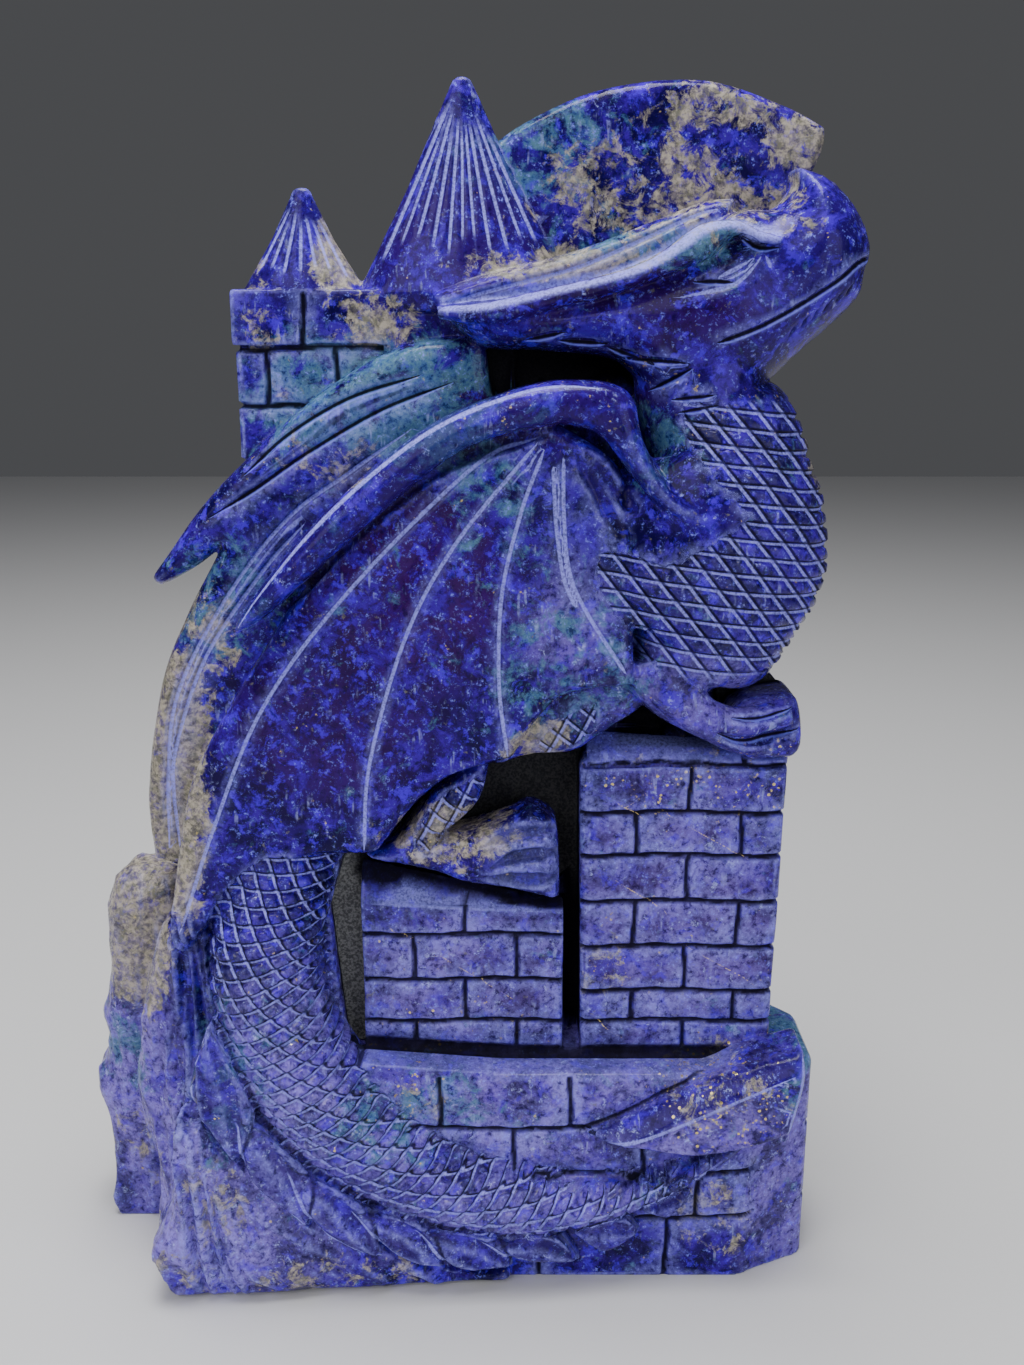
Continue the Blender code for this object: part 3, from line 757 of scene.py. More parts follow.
@dataclass
class Castle:
    """The plinth, the walls behind the dragon, the keep and its two roofs."""

    plinth_height: float = 41.2
    plinth_left: float = -34.0
    plinth_corner: float = 51.0
    plinth_right: float = 62.4
    plinth_front: float = -13.5
    wall_setback: float = 7.5
    back: float = 16.0
    column_left: float = -18.5
    column_right: float = 17.0
    column_height: float = 29.0
    slot_width: float = 3.4
    slot_depth: float = 9.0
    tower_width: float = 36.0
    tower_height: float = 54.8
    tower_flare: float = 0.8
    keep_left: float = -37.3
    keep_width: float = 46.0
    keep_eave: float = 174.0
    keep_front: float = 2.0
    keep_back: float = 14.0
    brick: float = 18.2
    small_roof: Cone = field(default_factory=lambda: Cone(-26.3, 8, 174.0, 10.0, 16.0, 0.62, 0.14))
    big_roof: Cone = field(default_factory=lambda: Cone(0, 7.5, 173.4, 17.6, 33.2, 0.5))

    @property
    def wall(self) -> float:
        """The depth of the column's and the tower's front."""
        return self.plinth_front + self.wall_setback

    @property
    def tower_left(self) -> float:
        """The tower's left side."""
        return self.column_right + self.slot_width

    def forms(self) -> Iterator[Skin]:
        """Builds each wall and roof."""
        corner, right, front = self.plinth_corner, self.plinth_right, self.plinth_front
        tower_right = self.tower_left + self.tower_width - 2
        keep_right = self.keep_left + self.keep_width
        yield prism(((self.plinth_left, front), (corner - 1.5, front), (corner + 0.5, front + 1.5),
                     (right, -7), (right, 9), (right - 6, self.back),
                     (self.plinth_left, self.back)), 0, self.plinth_height, 1.7)
        yield hull([(x, y, z) for y in (front + 0.4, self.wall + 1)
                    for x, z in ((-22, 38), (-22, 43.4), (4, 41.4), (8, 38))])
        yield block((self.column_left, self.wall, self.plinth_height - 3),
                    (self.column_right, self.wall + self.slot_depth,
                     self.plinth_height + self.column_height - 2.4), 0.6)
        yield from self.brows()
        yield block((-30, -0.8, 34), (self.column_left + 1, 6, 79), 1.2)
        yield block((self.tower_left, self.wall, self.plinth_height - 3),
                    (tower_right, 13, self.plinth_height + self.tower_height), 1.2,
                    self.tower_flare)
        yield block((self.column_left - 9, self.wall + self.slot_depth, 2),
                    (self.tower_left + 14, 15.5, 101))
        yield block((33, 5.5, 92), (50, 13, 104.5))
        yield block((self.keep_left, self.keep_front, 70),
                    (keep_right, self.keep_back, self.keep_eave - 1))
        yield block((self.keep_left + 20, 4, 95), (34, self.keep_back - 2, 171))
        yield block((self.keep_left - 0.4, self.keep_front - 0.6, self.keep_eave - 9),
                    (keep_right, self.keep_back + 0.6, self.keep_eave), 0.6)
        yield self.small_roof.skin()
        yield self.big_roof.skin()

    def brows(self) -> Iterator[Skin]:
        """Builds the sloping tops of the column and the tower, which rise under the dragon."""
        left, right, face = self.column_left, self.column_right, self.wall
        yield hull([(left, face, 60), (right, face, 60), (left, face, 70.8), (-8, face, 70.0),
                    (right, face, 69.0), (left, -2, 77.4), (-8, -2, 75.8), (6, -2.4, 72.8),
                    (right, -3, 70.4), (left, 3, 60), (right, 3, 60)])
        left, right = self.tower_left + 0.5, self.tower_left + self.tower_width - 1.6
        yield hull([(left, face + 0.4, 92), (right, face + 0.4, 92), (left, face + 0.4, 95.4),
                    (right, face + 0.4, 96.4), (left, 0, 100.4), (30, 0, 99), (42, 0, 98.2),
                    (right, 0, 98), (left, 3, 92), (right, 3, 92)])

    def walls(self) -> Iterator[Brickwork]:
        """Lays out the joints of every wall."""
        tower_right = self.tower_left + self.tower_width - 2
        base = self.plinth_height
        yield Brickwork(self.tower_left, tower_right + 1, base,
                        (6.4, 5.9, 8.6, 8.6, 8.6, 7.9, 8.6, 8.2), self.brick, (1.0, 0.5),
                        self.wall)
        yield Brickwork(self.column_left, self.column_right - 1, base, (6.4, 8.1, 8.7, 5.4),
                        self.brick, (0.5, 1.0), self.wall)
        yield Brickwork(self.column_left, self.plinth_corner - 1, 0, (12.4, 9.1, 9.0, 9.8), 23.0,
                        (0.37, 0.6, 0.17, 0.6), self.plinth_front)
        yield Brickwork(self.keep_left, -15, 128.3, (9.1,) * 4 + (8.6,), 11.4, (1.0, 0.45),
                        self.keep_front)
        yield Brickwork(self.tower_left + 16, tower_right + 1, base, (11,) * 5, self.brick,
                        (1.0, 0.5), 13, Side.BACK)
        yield Brickwork(self.column_left - 9, self.tower_left + 14, base, (11,) * 5, self.brick,
                        (1.0, 0.5), 15.5, Side.BACK)
        yield Brickwork(self.keep_left, self.keep_left + self.keep_width, 102, (12,) * 6,
                        self.brick, (1.0, 0.5), self.keep_back, Side.BACK)
        yield Brickwork(self.plinth_left, self.plinth_right - 6, 0, (13.7,) * 3, 23.0,
                        (0.7, 0.2), self.back, Side.BACK)

    def carve(self, stone: Stone) -> None:
        """Grinds the joints, the flutes, the scoop and the shelf with painted shade and highlight,
        and draws the golden veins.

        Args:
            stone: The whole stone.
        """
        for wall in self.walls():
            wall.carve(stone)
        self.carve_side_joints(stone)
        for roof, count, low, high in ((self.small_roof, 7, 0.12, 0.8),
                                       (self.big_roof, 11, 0.16, 0.9)):
            self.carve_flutes(stone, roof, count, low, high)
        self.carve_scoop(stone)
        self.carve_shelf(stone)
        where = stone.pick((-19, self.wall - 1, 40), (56, self.wall + 2, 97), Side.FRONT)
        for line in GOLDEN_VEINS:
            stone.trace(where, curve(line, 2), 0.3, 0.0, Stroke.VEIN, fade=0.3)

    def carve_side_joints(self, stone: Stone) -> None:
        """Carries the tower's, the keep's and the plinth's bed joints round their outer sides.

        Args:
            stone: The whole stone.
        """
        tower_right = self.tower_left + self.tower_width - 2
        beds = ((tower_right, (47.6, 53.5, 62.1, 70.7, 79.3, 87.2), (-5, 12)),
                (self.keep_left, (146.5, 155.6, 164.7), (3, 13)),
                (self.plinth_right, (12.4, 27.5), (-6, 8)))
        for x, heights, (near, far) in beds:
            where = stone.pick((x - 2.2, near - 1, heights[0] - 2),
                               (x + 2.2, far + 1, heights[-1] + 2))
            where = where[np.abs(stone.normals[where, 0]) > 0.6]
            z = stone.points[where, 2]
            for height in heights:
                stone.cut(where, np.abs(z - height), 0.55, 0.8, 0.1, 0.8)

    def carve_flutes(self, stone: Stone, roof: Cone, count: int, low: float,
                     high: float) -> None:
        """Grinds straight flutes that run out towards the roof's tip.

        Args:
            stone: The whole stone.
            roof: The roof.
            count: The number of flutes across its front.
            low: The share of its height where they start.
            high: The share of its height where they end.
        """
        where = stone.pick((roof.x - roof.radius, -3, roof.foot - 1),
                           (roof.x + roof.radius, 18, roof.foot + roof.height))
        place, rise = roof.across(stone.points[where])
        where, rise, place = (values[np.abs(place) < 1.06] for values in (where, rise, place))
        stone.paint(stone.rich, where, 0.7)
        order = np.arange(count)
        at = -0.86 + 1.72 * order / (count - 1) + 0.03 * np.sin(5.1 * order)
        foot = low + 0.1 * np.abs(np.sin(2.3 * order + roof.x))
        tip = high - 0.16 * np.abs(np.sin(1.7 * order))
        passed = np.interp(place, [-1.2, *at, 1.2], [-1.2, *order, count + 0.2])
        closest = np.clip(np.round(passed), 0, count - 1).astype(int)
        off = np.abs(place - at[closest]) * roof.radius * np.maximum(1 - rise, 0.05)
        foot, tip = foot[closest], tip[closest]
        ends = ease(rise, foot - 0.02, foot + 0.05) * ease(rise, tip + 0.02, tip - 0.1)
        ends *= ease(stone.normals[where, 1], 0.2, 0.0)
        stone.cut(where, off, 0.5, 0.34 * ends, 0.0, 0.0)
        stone.flute[where] = passed
        stone.flute_gap[where] = roof.radius * np.maximum(1 - rise, 0.05) * 1.72 / (count - 1)
        stone.fluted[where] = ends

    def carve_scoop(self, stone: Stone) -> None:
        """Hollows the column's brow, and paints shade into the slit under the hind foot.

        Args:
            stone: The whole stone.
        """
        where = stone.pick((self.column_left - 1, self.wall - 0.5, 67.4),
                           (self.column_right + 0.2, 4, 79))
        brow = where[stone.normals[where, 2] > 0.15]
        x, _, z = stone.points[brow].T
        stone.cut(brow, np.abs(x + 1) / 18, 1.0, 0.8 * ease(z, 68, 70.5), 0.7, 0.0)
        # Painted shade: the brow goes near black where the hind foot shades it.
        x, y, z = stone.points[where].T
        back = np.clip((y - self.wall) / (-2 - self.wall), 0, 1)
        rim = np.interp(x, (-19, -8, 15), (70.8, 70.0, 69.0))
        top = np.interp(x, (-19, -8, 6, 15), (77.4, 75.8, 72.8, 70.4))
        seen = z + 0.26 * (y - self.wall)
        shade = np.interp(x, (-19, -10.7, -2.4, 1.5, 6, 13.1),
                          (74.4, 73.4, 71.7, 70.9, 70.2, 69.4))
        slit_shade = ease(seen, shade - 0.3, shade + 0.3) * (z < rim + (top - rim) * back + 1.8)
        stone.paint(stone.dark_and_shade, where, slit_shade)
        stone.dust_and_highlight[where] *= 1 - slit_shade
        where = stone.pick((self.tower_left, self.wall - 0.5, 95.6), (57, 1.5, 101))
        stone.paint(stone.dust_and_highlight, where[stone.normals[where, 2] > 0.3], 0.3)

    def carve_shelf(self, stone: Stone) -> None:
        """Grinds the deep line at the walls' foot with painted shade, and paints a highlight on the
        front rim.

        Args:
            stone: The whole stone.
        """
        base, front = self.plinth_height, self.plinth_front
        where = stone.pick((-22, self.wall - 3, base - 2), (57, self.wall + 1.5, base + 4.6))
        x, y, z = stone.points[where].T
        foot = np.interp(x, (-22, 4, 10), (base + 2.5, base + 0.6, base + 0.3))
        # Painted shade: the groove and the stone round it go near black.
        gap = np.hypot(y - self.wall + 0.6, z - foot - 0.3)
        stone.cut(where, gap, 1.4, 0.9, 0.0, 1.0)
        gap = np.hypot(y - self.wall - 0.3, z - foot + 0.5)
        stone.paint(stone.dark_and_shade, where, ease(gap, 1.7, 1.2))
        # Painted highlight: the shelf's upward-facing front rim is made pale.
        where = stone.pick((-19, front - 0.5, base - 1.2), (52, self.wall - 0.6, base + 2.4))
        stone.paint(stone.dust_and_highlight, where[stone.normals[where, 2] > 0.3], 0.26)


@dataclass
class Rocks:
    """The rough stone at the left of the plinth."""

    lump: float = 2.1

    def forms(self) -> Iterator[Skin]:
        """Builds the pillar, the mass behind the tail and the rock in front."""
        yield Slab([[(-66, 70.6), (-62, 72.3), (-52, 72.3)], [(-52, 72.3), (-46, 0)],
                    [(-46, 0), (-62, 0)], [(-62, 0), (-68.5, 4.5), (-71.7, 21), (-72.4, 27.5),
                                           (-68.6, 36)],
                    [(-68.6, 36), (-69, 42), (-66.7, 49), (-66.7, 59.6), (-66, 70.6)]],
                   3.5, 17, 4, 6, pitch=0.9).skin()
        yield Slab([[(-57, 0), (-60, 30), (-57, 52), (-50, 74)], [(-50, 74), (-26, 86)],
                    [(-26, 86), (-18, 0)], [(-18, 0), (-57, 0)]],
                   -7, 15, 4, 5, pitch=0.9).skin()
        yield hull([(-69, 4, 0), (-56, 4, 0), (-70.5, 6, 24), (-60, 2.6, 30), (-68, 6, 42),
                    (-57, 4, 44), (-69, 14, 0), (-56, 14, 0), (-69, 13, 40), (-57, 14, 44)])
        yield hull([(-57, -9.5, 0), (-40, -12, 0), (-57.5, -7, 26), (-49, -11.5, 34),
                    (-52, -5, 56), (-44, -8, 44), (-57, 2, 0), (-40, 2, 0), (-54, 2, 52)])
        yield Slab([[(-50, 35), (-52.6, 17.3), (-56.5, 9.5), (-53, 0)], [(-53, 0), (8, 0)],
                    [(8, 0), (8, 2.6)], [(8, 2.6), (-12, 10), (-26, 16), (-38, 28), (-50, 35)]],
                   -18, -2, 4, 5, (0.07, 0.0), pitch=0.9).skin()

    def share(self, points: Array) -> Array:
        """Tells how much each point belongs to the rough rock.

        Args:
            points: Rows of three coordinates.

        Returns:
            A share from 0 to 1 for each.
        """
        x, y, z = points.T
        left = ease(x, -42, -50) * ease(z, 76, 68)
        low = ease(x, 8, -2) * ease(z, 16 - 0.35 * (x + 10), 8 - 0.35 * (x + 10)) * ease(y, 4, -2)
        return np.clip(np.maximum(left, low), 0, 1) * ease(z, 0.3, 2.5)

    def roughen(self, points: Array) -> Array:
        """Shapes the rock with lumps, ridges that run down, and chips.

        Args:
            points: Rows of three coordinates.

        Returns:
            How far each point stands out.
        """
        x, y, z = points.T
        lean = ease(x, -52, -38) * 0.9
        along = z * np.cos(lean) - x * np.sin(lean)
        across = x * np.cos(lean) + z * np.sin(lean)
        bent = across + 1.6 * noise(points, 13, 12)
        ridged = np.column_stack([bent, 0.7 * y, 0.28 * along])
        lumps = noise(points, 12, 1)
        ridges = 0.55 - 2 * np.abs(noise(ridged, 5.5, 5))
        strokes = 0.5 - 2 * np.abs(noise(ridged, 2.1, 6))
        relief = 0.5 * lumps + 0.62 * ridges + 0.16 * strokes
        return self.share(points) * self.lump * relief


@dataclass
class Wings:
    """Both wings, the arm that holds the near one, and the sail behind the head."""

    membrane_front: float = -13.6
    arm_front: float = -18.4
    far_front: float = -2.6
    slope: Spot = (-0.03, 0.0)
    hub: Spot = (14.0, 150.6)
    crease: Sequence[Spot] = ((13.2, 151.7), (6.9, 150.3), (-2.7, 147.0), (-10.1, 142.0),
                              (-17.6, 136.0), (-24, 129.6), (-29, 124))
    arm: Arcs = (((15.5, 153.7), (6.9, 152), (-2.7, 147.5), (-17.4, 135.4), (-31, 123.4),
                  (-35.9, 120.8)),
                 ((-35.9, 120.8), (-36.2, 121.9), (-32.3, 127.6), (-23, 138.2), (-12.3, 147.8),
                  (-2.6, 154.4), (8, 158.6)),
                 ((8, 158.6), (15, 160), (23, 159.6), (26.6, 157), (28.3, 150.6), (33.7, 142.9),
                  (43.2, 139.2)),
                 ((43.2, 139.2), (42, 136.6), (32.5, 139.4), (26.6, 145.5), (21.3, 152),
                  (15.5, 153.7)))

    @property
    def ribs(self) -> list[Array]:
        """The ribs of the near wing, from the hub to its lower edge."""
        x, z = self.hub
        return [curve(line, 1.5) for line in (
            [(x - 2, z + 0.8), (2.1, 146.9), (-17.9, 127.3), (-32.7, 107.8), (-42, 86.8),
             (-48.6, 68.2)],
            [(x - 2, z), (-0.9, 134.8), (-9.1, 119.7), (-15.4, 98.7), (-16.9, 82.7)],
            [(x - 1, z - 1), (9.4, 139.7), (6.4, 126.8), (5.9, 112), (7.3, 99.6)],
            [(x + 0.4, z - 3.5), (14.9, 138.2), (16.2, 129.4), (18.2, 124.5)],
            [(x + 2, z - 2), (16.1, 140.1), (17.1, 130.4), (20.1, 123.5), (26.5, 113.6)])]

    @property
    def folds(self) -> list[Array]:
        """The soft folds between the hub and the chest."""
        return [curve(line, 1.5) for line in (
            [(17.9, 149), (20.8, 144.3), (23.7, 138.6), (27.2, 134.3)],
            [(19.7, 149), (23.6, 143.9), (28, 139.4)])]

    @property
    def far_lines(self) -> list[Array]:
        """The long lines of the far wing."""
        return [curve(line, 1.5) for line in (
            [(-6.4, 160.6), (-18.3, 156.9), (-28.6, 151), (-36, 144.5)],
            [(-1.6, 159.4), (-13.3, 155), (-25.7, 148), (-34.1, 142.4), (-42, 137.6)],
            [(-8.3, 152), (-18.6, 145), (-29.2, 137.3), (-40.2, 123.7), (-49.1, 107.5),
             (-51.7, 93.4), (-52.4, 79)],
            [(-26.1, 136.8), (-33.7, 128.5), (-43.9, 114), (-49.7, 99.1), (-51, 90.6),
             (-50.4, 78)])]

    def valley(self, spots: Array, reach: Array) -> Array:
        """Sinks the membrane a little between its ribs and under the arm.

        Args:
            spots: Rows of x and z.
            reach: How far each one lies from the outline.

        Returns:
            How far it lies back at each spot.
        """
        gap = np.full(len(spots), np.inf)
        for rib in self.ribs[:3]:
            gap = np.minimum(gap, nearest(spots, rib)[0])
        return 0.9 * ease(gap, 0.5, 8) * ease(reach, 0, 4)

    def forms(self) -> Iterator[Skin]:
        """Builds the membrane, the arm with its finger, the far wing and the sail."""
        yield Slab([[(-28.2, 124), (-37.9, 108.6), (-45.6, 95), (-49.2, 79.7), (-51.3, 64.6),
                     (-50.2, 63)],
                    [(-50.2, 63), (-45.6, 67.2), (-38.2, 75.3), (-27.5, 80.9), (-15, 82)],
                    [(-15, 82), (-8.5, 90.5), (-1.9, 95.9), (8, 99)],
                    [(8, 99), (12.5, 106), (17.4, 110.1), (28, 111.5)],
                    [(28, 111.5), (27, 130), (25, 146), (14, 154)],
                    [(14, 154), (-8, 146), (-28.2, 124)]],
                   self.membrane_front, 0, 2.5, 3, self.slope, self.valley).skin()
        yield Slab(self.arm, self.arm_front, -4, 3.4, 3.2, self.slope, pitch=0.5).skin()
        yield Slab([[(4, 166.5), (-8.1, 165.4), (-18.1, 161), (-28.5, 153.5), (-41.9, 141),
                     (-50.6, 130.2), (-52.9, 127.2)],
                    [(-52.9, 127.2), (-52, 125.9), (-49.6, 126.6), (-45, 129.2), (-40.8, 132.4)],
                    [(-40.8, 132.4), (-47.4, 120.5), (-52.6, 108), (-56.2, 89),
                     (-55.8, 76.5)],
                    [(-55.8, 76.5), (-46, 74)], [(-46, 74), (8, 110), (4, 166.5)]],
                   self.far_front, 9, 3, 3.5).skin()
        yield Slab([[(2, 194), (9.3, 199.5), (22, 204.7), (38, 206.3), (51, 202.8),
                     (58.6, 199.2)], [(58.6, 199.2), (58, 195), (53, 184)],
                    [(53, 184), (30, 172)], [(30, 172), (2, 176)], [(2, 176), (2, 194)]],
                   6.6, 13, 2, 2.6).skin()

    def carve(self, stone: Stone) -> None:
        """Grinds the ribs and folds of the near wing and the lines of the far one.

        Args:
            stone: The whole stone.
        """
        front = self.membrane_front
        where = stone.pick((-53, front - 1, 62), (30, front + 4.5, 155), Side.FRONT)
        for rib in self.ribs:
            stone.trace(where, rib, 0.6, 0.4, Stroke.PALE_AND_HIGHLIGHT, fade=0.04)
        # The folds and the crease under the arm get painted shade.
        for fold in self.folds:
            stone.trace(where, fold, 1.5, 0.8, dark_and_shade=0.3, fade=0.2)
        stone.trace(where, curve(self.crease, 1.5), 1.6, 0.9, dark_and_shade=0.6, fade=0.1)
        where = stone.pick((-40, self.arm_front - 1, 120), (44, -6, 161))
        where = where[inside(stone.points[where][:, [0, 2]], outline(self.arm))]
        stone.paint(stone.rich, where, 0.85)
        # Painted highlight: a pale line along the finger's upper rim.
        rim = curve([(-35.4, 121.8), (-31.6, 127.2), (-22.6, 137.6), (-12, 147.1), (-2.4, 153.6),
                     (8, 157.8), (15, 159.2), (22, 158.8)], 1.5)
        stone.trace(where, rim, 0.5, 0.0, Stroke.PALE_AND_HIGHLIGHT, fade=0.3)
        where = stone.pick((-57, self.far_front - 1, 74), (4, self.far_front + 4, 168), Side.FRONT)
        for line in self.far_lines[:2]:
            stone.trace(where, line, 0.6, 0.6, Stroke.DARK, fade=0.15)
        for line in self.far_lines[2:]:
            stone.trace(where, line, 0.6, 0.5, Stroke.PALE_AND_HIGHLIGHT, fade=0.1)
        where = stone.pick((-57, 5, 74), (-36, 11, 140), Side.BACK)
        for line in self.far_lines[2:]:
            stone.trace(where, line, 0.7, 0.5, Stroke.PALE_AND_HIGHLIGHT, fade=0.1)


@dataclass
class Dragon:
    """The dragon without wings and tail: head, horns, neck, legs and feet."""

    head_front: float = -14.5
    neck: Tube = field(default_factory=lambda: Tube(
        [(38.6, 168, 12, -3, 10), (38.2, 157.5, 10.4, -3, 11), (41, 150.5, 13.6, -3, 13.5),
         (41, 143.5, 17.4, -3, 15.4), (40.4, 137, 19.5, -3, 16), (39.8, 130, 20.1, -3, 16),
         (39.6, 124, 18.5, -3, 15), (39, 118, 14.4, -3, 13), (36.6, 113, 8.8, -3.4, 10.5),
         (36, 109, 4.6, -4, 8)], 96))
    neck_scales: Hatching = field(default_factory=Hatching)
    belly_scales: Hatching = field(default_factory=lambda: Hatching(63, 3.2, -38, 2.9))

    @property
    def mouth(self) -> Array:
        """The line between the lips."""
        return curve([(63.5, 178.4), (60.4, 177.2), (56.9, 174.5), (50.6, 170.6), (44.8, 167.6),
                      (38.8, 165.4)], 1.0)

    def face(self, spots: Array, reach: Array) -> Array:
        """Sets the lower jaw back and lets the cheek and the snout stand out.

        Args:
            spots: Rows of x and z.
            reach: Not used here.

        Returns:
            How far the head's front lies back at each spot.
        """
        x, z = spots.T
        lip = np.interp(x, self.mouth[::-1, 0], self.mouth[::-1, 1])
        jaw = ease(lip - z, 0, 1.4) * ease(x, 36, 42)
        under = np.interp(x, (30, 36.4, 45.5, 50.2, 56.1, 60.5), (160, 161.7, 165.4, 168.9,
                                                                  171.8, 175.0))
        facet = np.maximum(under - z, 0) * ease(x, 32, 42)
        cheek = np.exp(-((x - 40) / 9) ** 2 - ((z - 171) / 6) ** 2)
        snout = np.exp(-((x - 55) / 5) ** 2 - ((z - 181) / 5) ** 2)
        return 0.7 * jaw + 0.4 * facet - 1.2 * cheek - 0.8 * snout

    def forms(self) -> Iterator[Skin]:
        """Builds every part of the animal."""
        yield Slab([[(-4.4, 171), (16, 173.6), (31, 178.8), (39, 183.2), (43.5, 185.4),
                     (48, 185.4), (50.8, 188.2), (51, 191.6)],
                    [(51, 191.6), (56.1, 189.9), (60.6, 185.5), (63.1, 180.2), (62.7, 176)],
                    [(62.7, 176), (61.6, 171.5), (53.9, 164.4), (48.6, 159.5), (42.6, 157),
                     (30, 157.5)],
                    [(30, 157.5), (24, 163), (12, 164.4), (3, 165.2), (-4.4, 171)]],
                   self.head_front, 9, 9.5, 10, (0.0, 0.0), self.face, 0.5).skin()
        yield Tube([(-3.4, 170, 1.0, -8.4, 2.6), (5, 169.9, 1.9, -11, 3.2),
                    (13, 171.7, 1.8, -12, 3.4), (21.5, 173.7, 1.6, -13.2, 3.4),
                    (27.4, 175.5, 1.5, -14, 3.4), (32.5, 177.8, 2.0, -14.4, 3.0),
                    (36.4, 180.0, 2.5, -14, 2.8), (39.6, 181.6, 1.7, -13.4, 2.7),
                    (42, 181.8, 1.1, -13.2, 2.6), (44, 180.7, 1.1, -13.4, 2.5),
                    (46.6, 180.2, 0.9, -13.4, 2.2), (48, 180.2, 0.4, -13, 1.6)], 40, 0.4).skin()
        yield Slab([[(-4.6, 173), (5.4, 176.3), (18.7, 179.8), (29.3, 183.6), (37.6, 186.8),
                     (43, 187.4)],
                    [(43, 187.4), (40, 182), (20, 173), (-4, 170.6)], [(-4, 170.6), (-4.6, 173)]],
                   -4.5, 6, 3, 3).skin()
        yield self.neck.skin()
        yield Tube([(31, 116, 8, -4, 9), (32.8, 111.5, 5.8, -5.6, 8.6),
                    (35.6, 107.6, 3.9, -6.8, 7.6), (40.6, 104, 2.6, -7.4, 6.8),
                    (45.6, 101.6, 2.4, -7.4, 6.4),
                    (51, 100.8, 2.4, -7, 6)]).skin()
        yield Tube([(38.2, 115, 1.4, -10, 2.4), (37.6, 110.6, 2.0, -11.6, 2.8),
                    (39.6, 107.4, 2.2, -12.4, 2.8), (44, 105.6, 2.4, -12.6, 2.6),
                    (50, 105.8, 2.2, -11.8, 2.6), (54, 106.2, 1.8, -10.6, 2.4)], 32, 0.4).skin()
        yield Slab([[(46.8, 108.2), (53.8, 109.3), (55.8, 106.6), (56.2, 100.4), (54.8, 98.4)],
                    [(54.8, 98.4), (47.6, 98.0)], [(47.6, 98.0), (43.6, 101), (44.4, 106),
                                                   (46.8, 108.2)]],
                   -11.4, 3, 2.4, 2.2, pitch=0.5).skin()
        yield Slab([[(42, 96), (42.4, 108.4), (46, 110.6), (52.9, 109.4), (56.3, 105.5)],
                    [(56.3, 105.5), (57, 93)], [(57, 93), (42, 96)]], 1, 12, 2, 3).skin()
        yield Slab([[(5, 95.6), (11, 97.6), (18.8, 98.4), (25, 102.6), (30.5, 107), (31, 114)],
                    [(31, 114), (12, 114)], [(12, 114), (5, 95.6)]], -9, 8, 4, 4).skin()
        yield Slab([[(-17, 79.5), (-11.1, 84), (-4.2, 93), (4.5, 99)],
                    [(4.5, 99), (2.6, 91), (-1.5, 86.2), (-6, 83)], [(-6, 83), (-17, 79.5)]],
                   -11, 4, 3, 3.4, pitch=0.5).skin()
        yield Slab([[(-18, 80.3), (-8, 83.4), (0, 84.6), (7.7, 87.1), (11.1, 88.7), (14.5, 87.1)],
                    [(14.5, 87.1), (15.8, 84.4), (16.2, 72.4)],
                    [(16.2, 72.4), (6.8, 74.7), (-0.4, 75.8), (-6, 77.9), (-18, 80.3)]],
                   -11.6, 2, 3.6, 3.2, pitch=0.5).skin()

    def carve(self, stone: Stone) -> None:
        """Grinds the mouth, the eye, the wrinkles, the scales and the toes."""
        head = stone.pick((-6, -20, 153), (66, 0, 193), Side.FRONT)
        stone.trace(head, self.mouth, 0.45, 0.8, Stroke.DARK, fade=0.06)
        wrinkles = ([(32.9, 172), (39.6, 173.4), (42, 174.5), (43.7, 176.1), (45.1, 178)],
                    [(38.5, 174.8), (41.8, 176.4), (43.6, 177.5)], [(45.8, 178), (46.5, 176.1)])
        gashes = ([(10.1, 165.9), (16.1, 167.1)], [(15.1, 165.9), (22.7, 165.4)],
                  [(22.7, 164.9), (26.3, 163.7), (29.8, 162.2)], [(25.3, 163.2), (35.1, 162.5)],
                  [(29.4, 158.3), (35.4, 161.7)], [(32.5, 157), (39.1, 157.8)],
                  [(33.6, 155.1), (39.7, 156.3)], [(35.1, 174.3), (38.5, 174.4), (41.1, 174.2)],
                  [(41.8, 181), (43.3, 180), (44.8, 179.2), (47.8, 179.2)])
        dashes = [[(50.4 + 1.7 * k, 166.4 + 1.2 * k), (51.5 + 1.7 * k, 168.4 + 1.2 * k)]
                  for k in range(6)]
        for line in wrinkles:
            stone.trace(head, curve(line, 1), 0.5, 0.35, Stroke.PALE_AND_HIGHLIGHT, fade=0.3)
        for line in gashes:
            stone.trace(head, curve(line, 1), 0.55, 0.8, Stroke.DARK, fade=0.3)
        for line in dashes:
            stone.trace(head, curve(line, 0.5), 0.4, 0.3, dark_and_shade=0.75, fade=0.45)
        horn = stone.pick((-5, -6, 168), (44, 1, 188), Side.FRONT)
        stone.trace(horn, curve([(-2.3, 171.6), (8.1, 174.3), (18.5, 177), (28.7, 181.2),
                                 (36.4, 184.6), (40, 185.6)], 1), 0.6, 0.5, Stroke.PALE_AND_HIGHLIGHT)
        self.carve_scales(stone)
        x, _, z = stone.points[head].T
        stone.paint(stone.rich, head, 0.7 * ease(x, 42, 54))
        # Painted highlight: a pale band along the top of the near horn.
        top = curve([(-3.4, 171.2), (5, 171.6), (13, 173.4), (21.5, 175.2), (27.4, 176.8),
                     (32.5, 179.6), (36.4, 182.2), (40, 183), (44, 181.4), (47, 181)], 1)
        away = nearest(np.column_stack([x, z]), top, 4)[0]
        stone.paint(stone.dust_and_highlight, head, ease(away, 1.5, 0.8) * ease(x, -4, -2))
        foot = stone.pick((-8, -13, 70), (17, -5, 91), Side.FRONT)
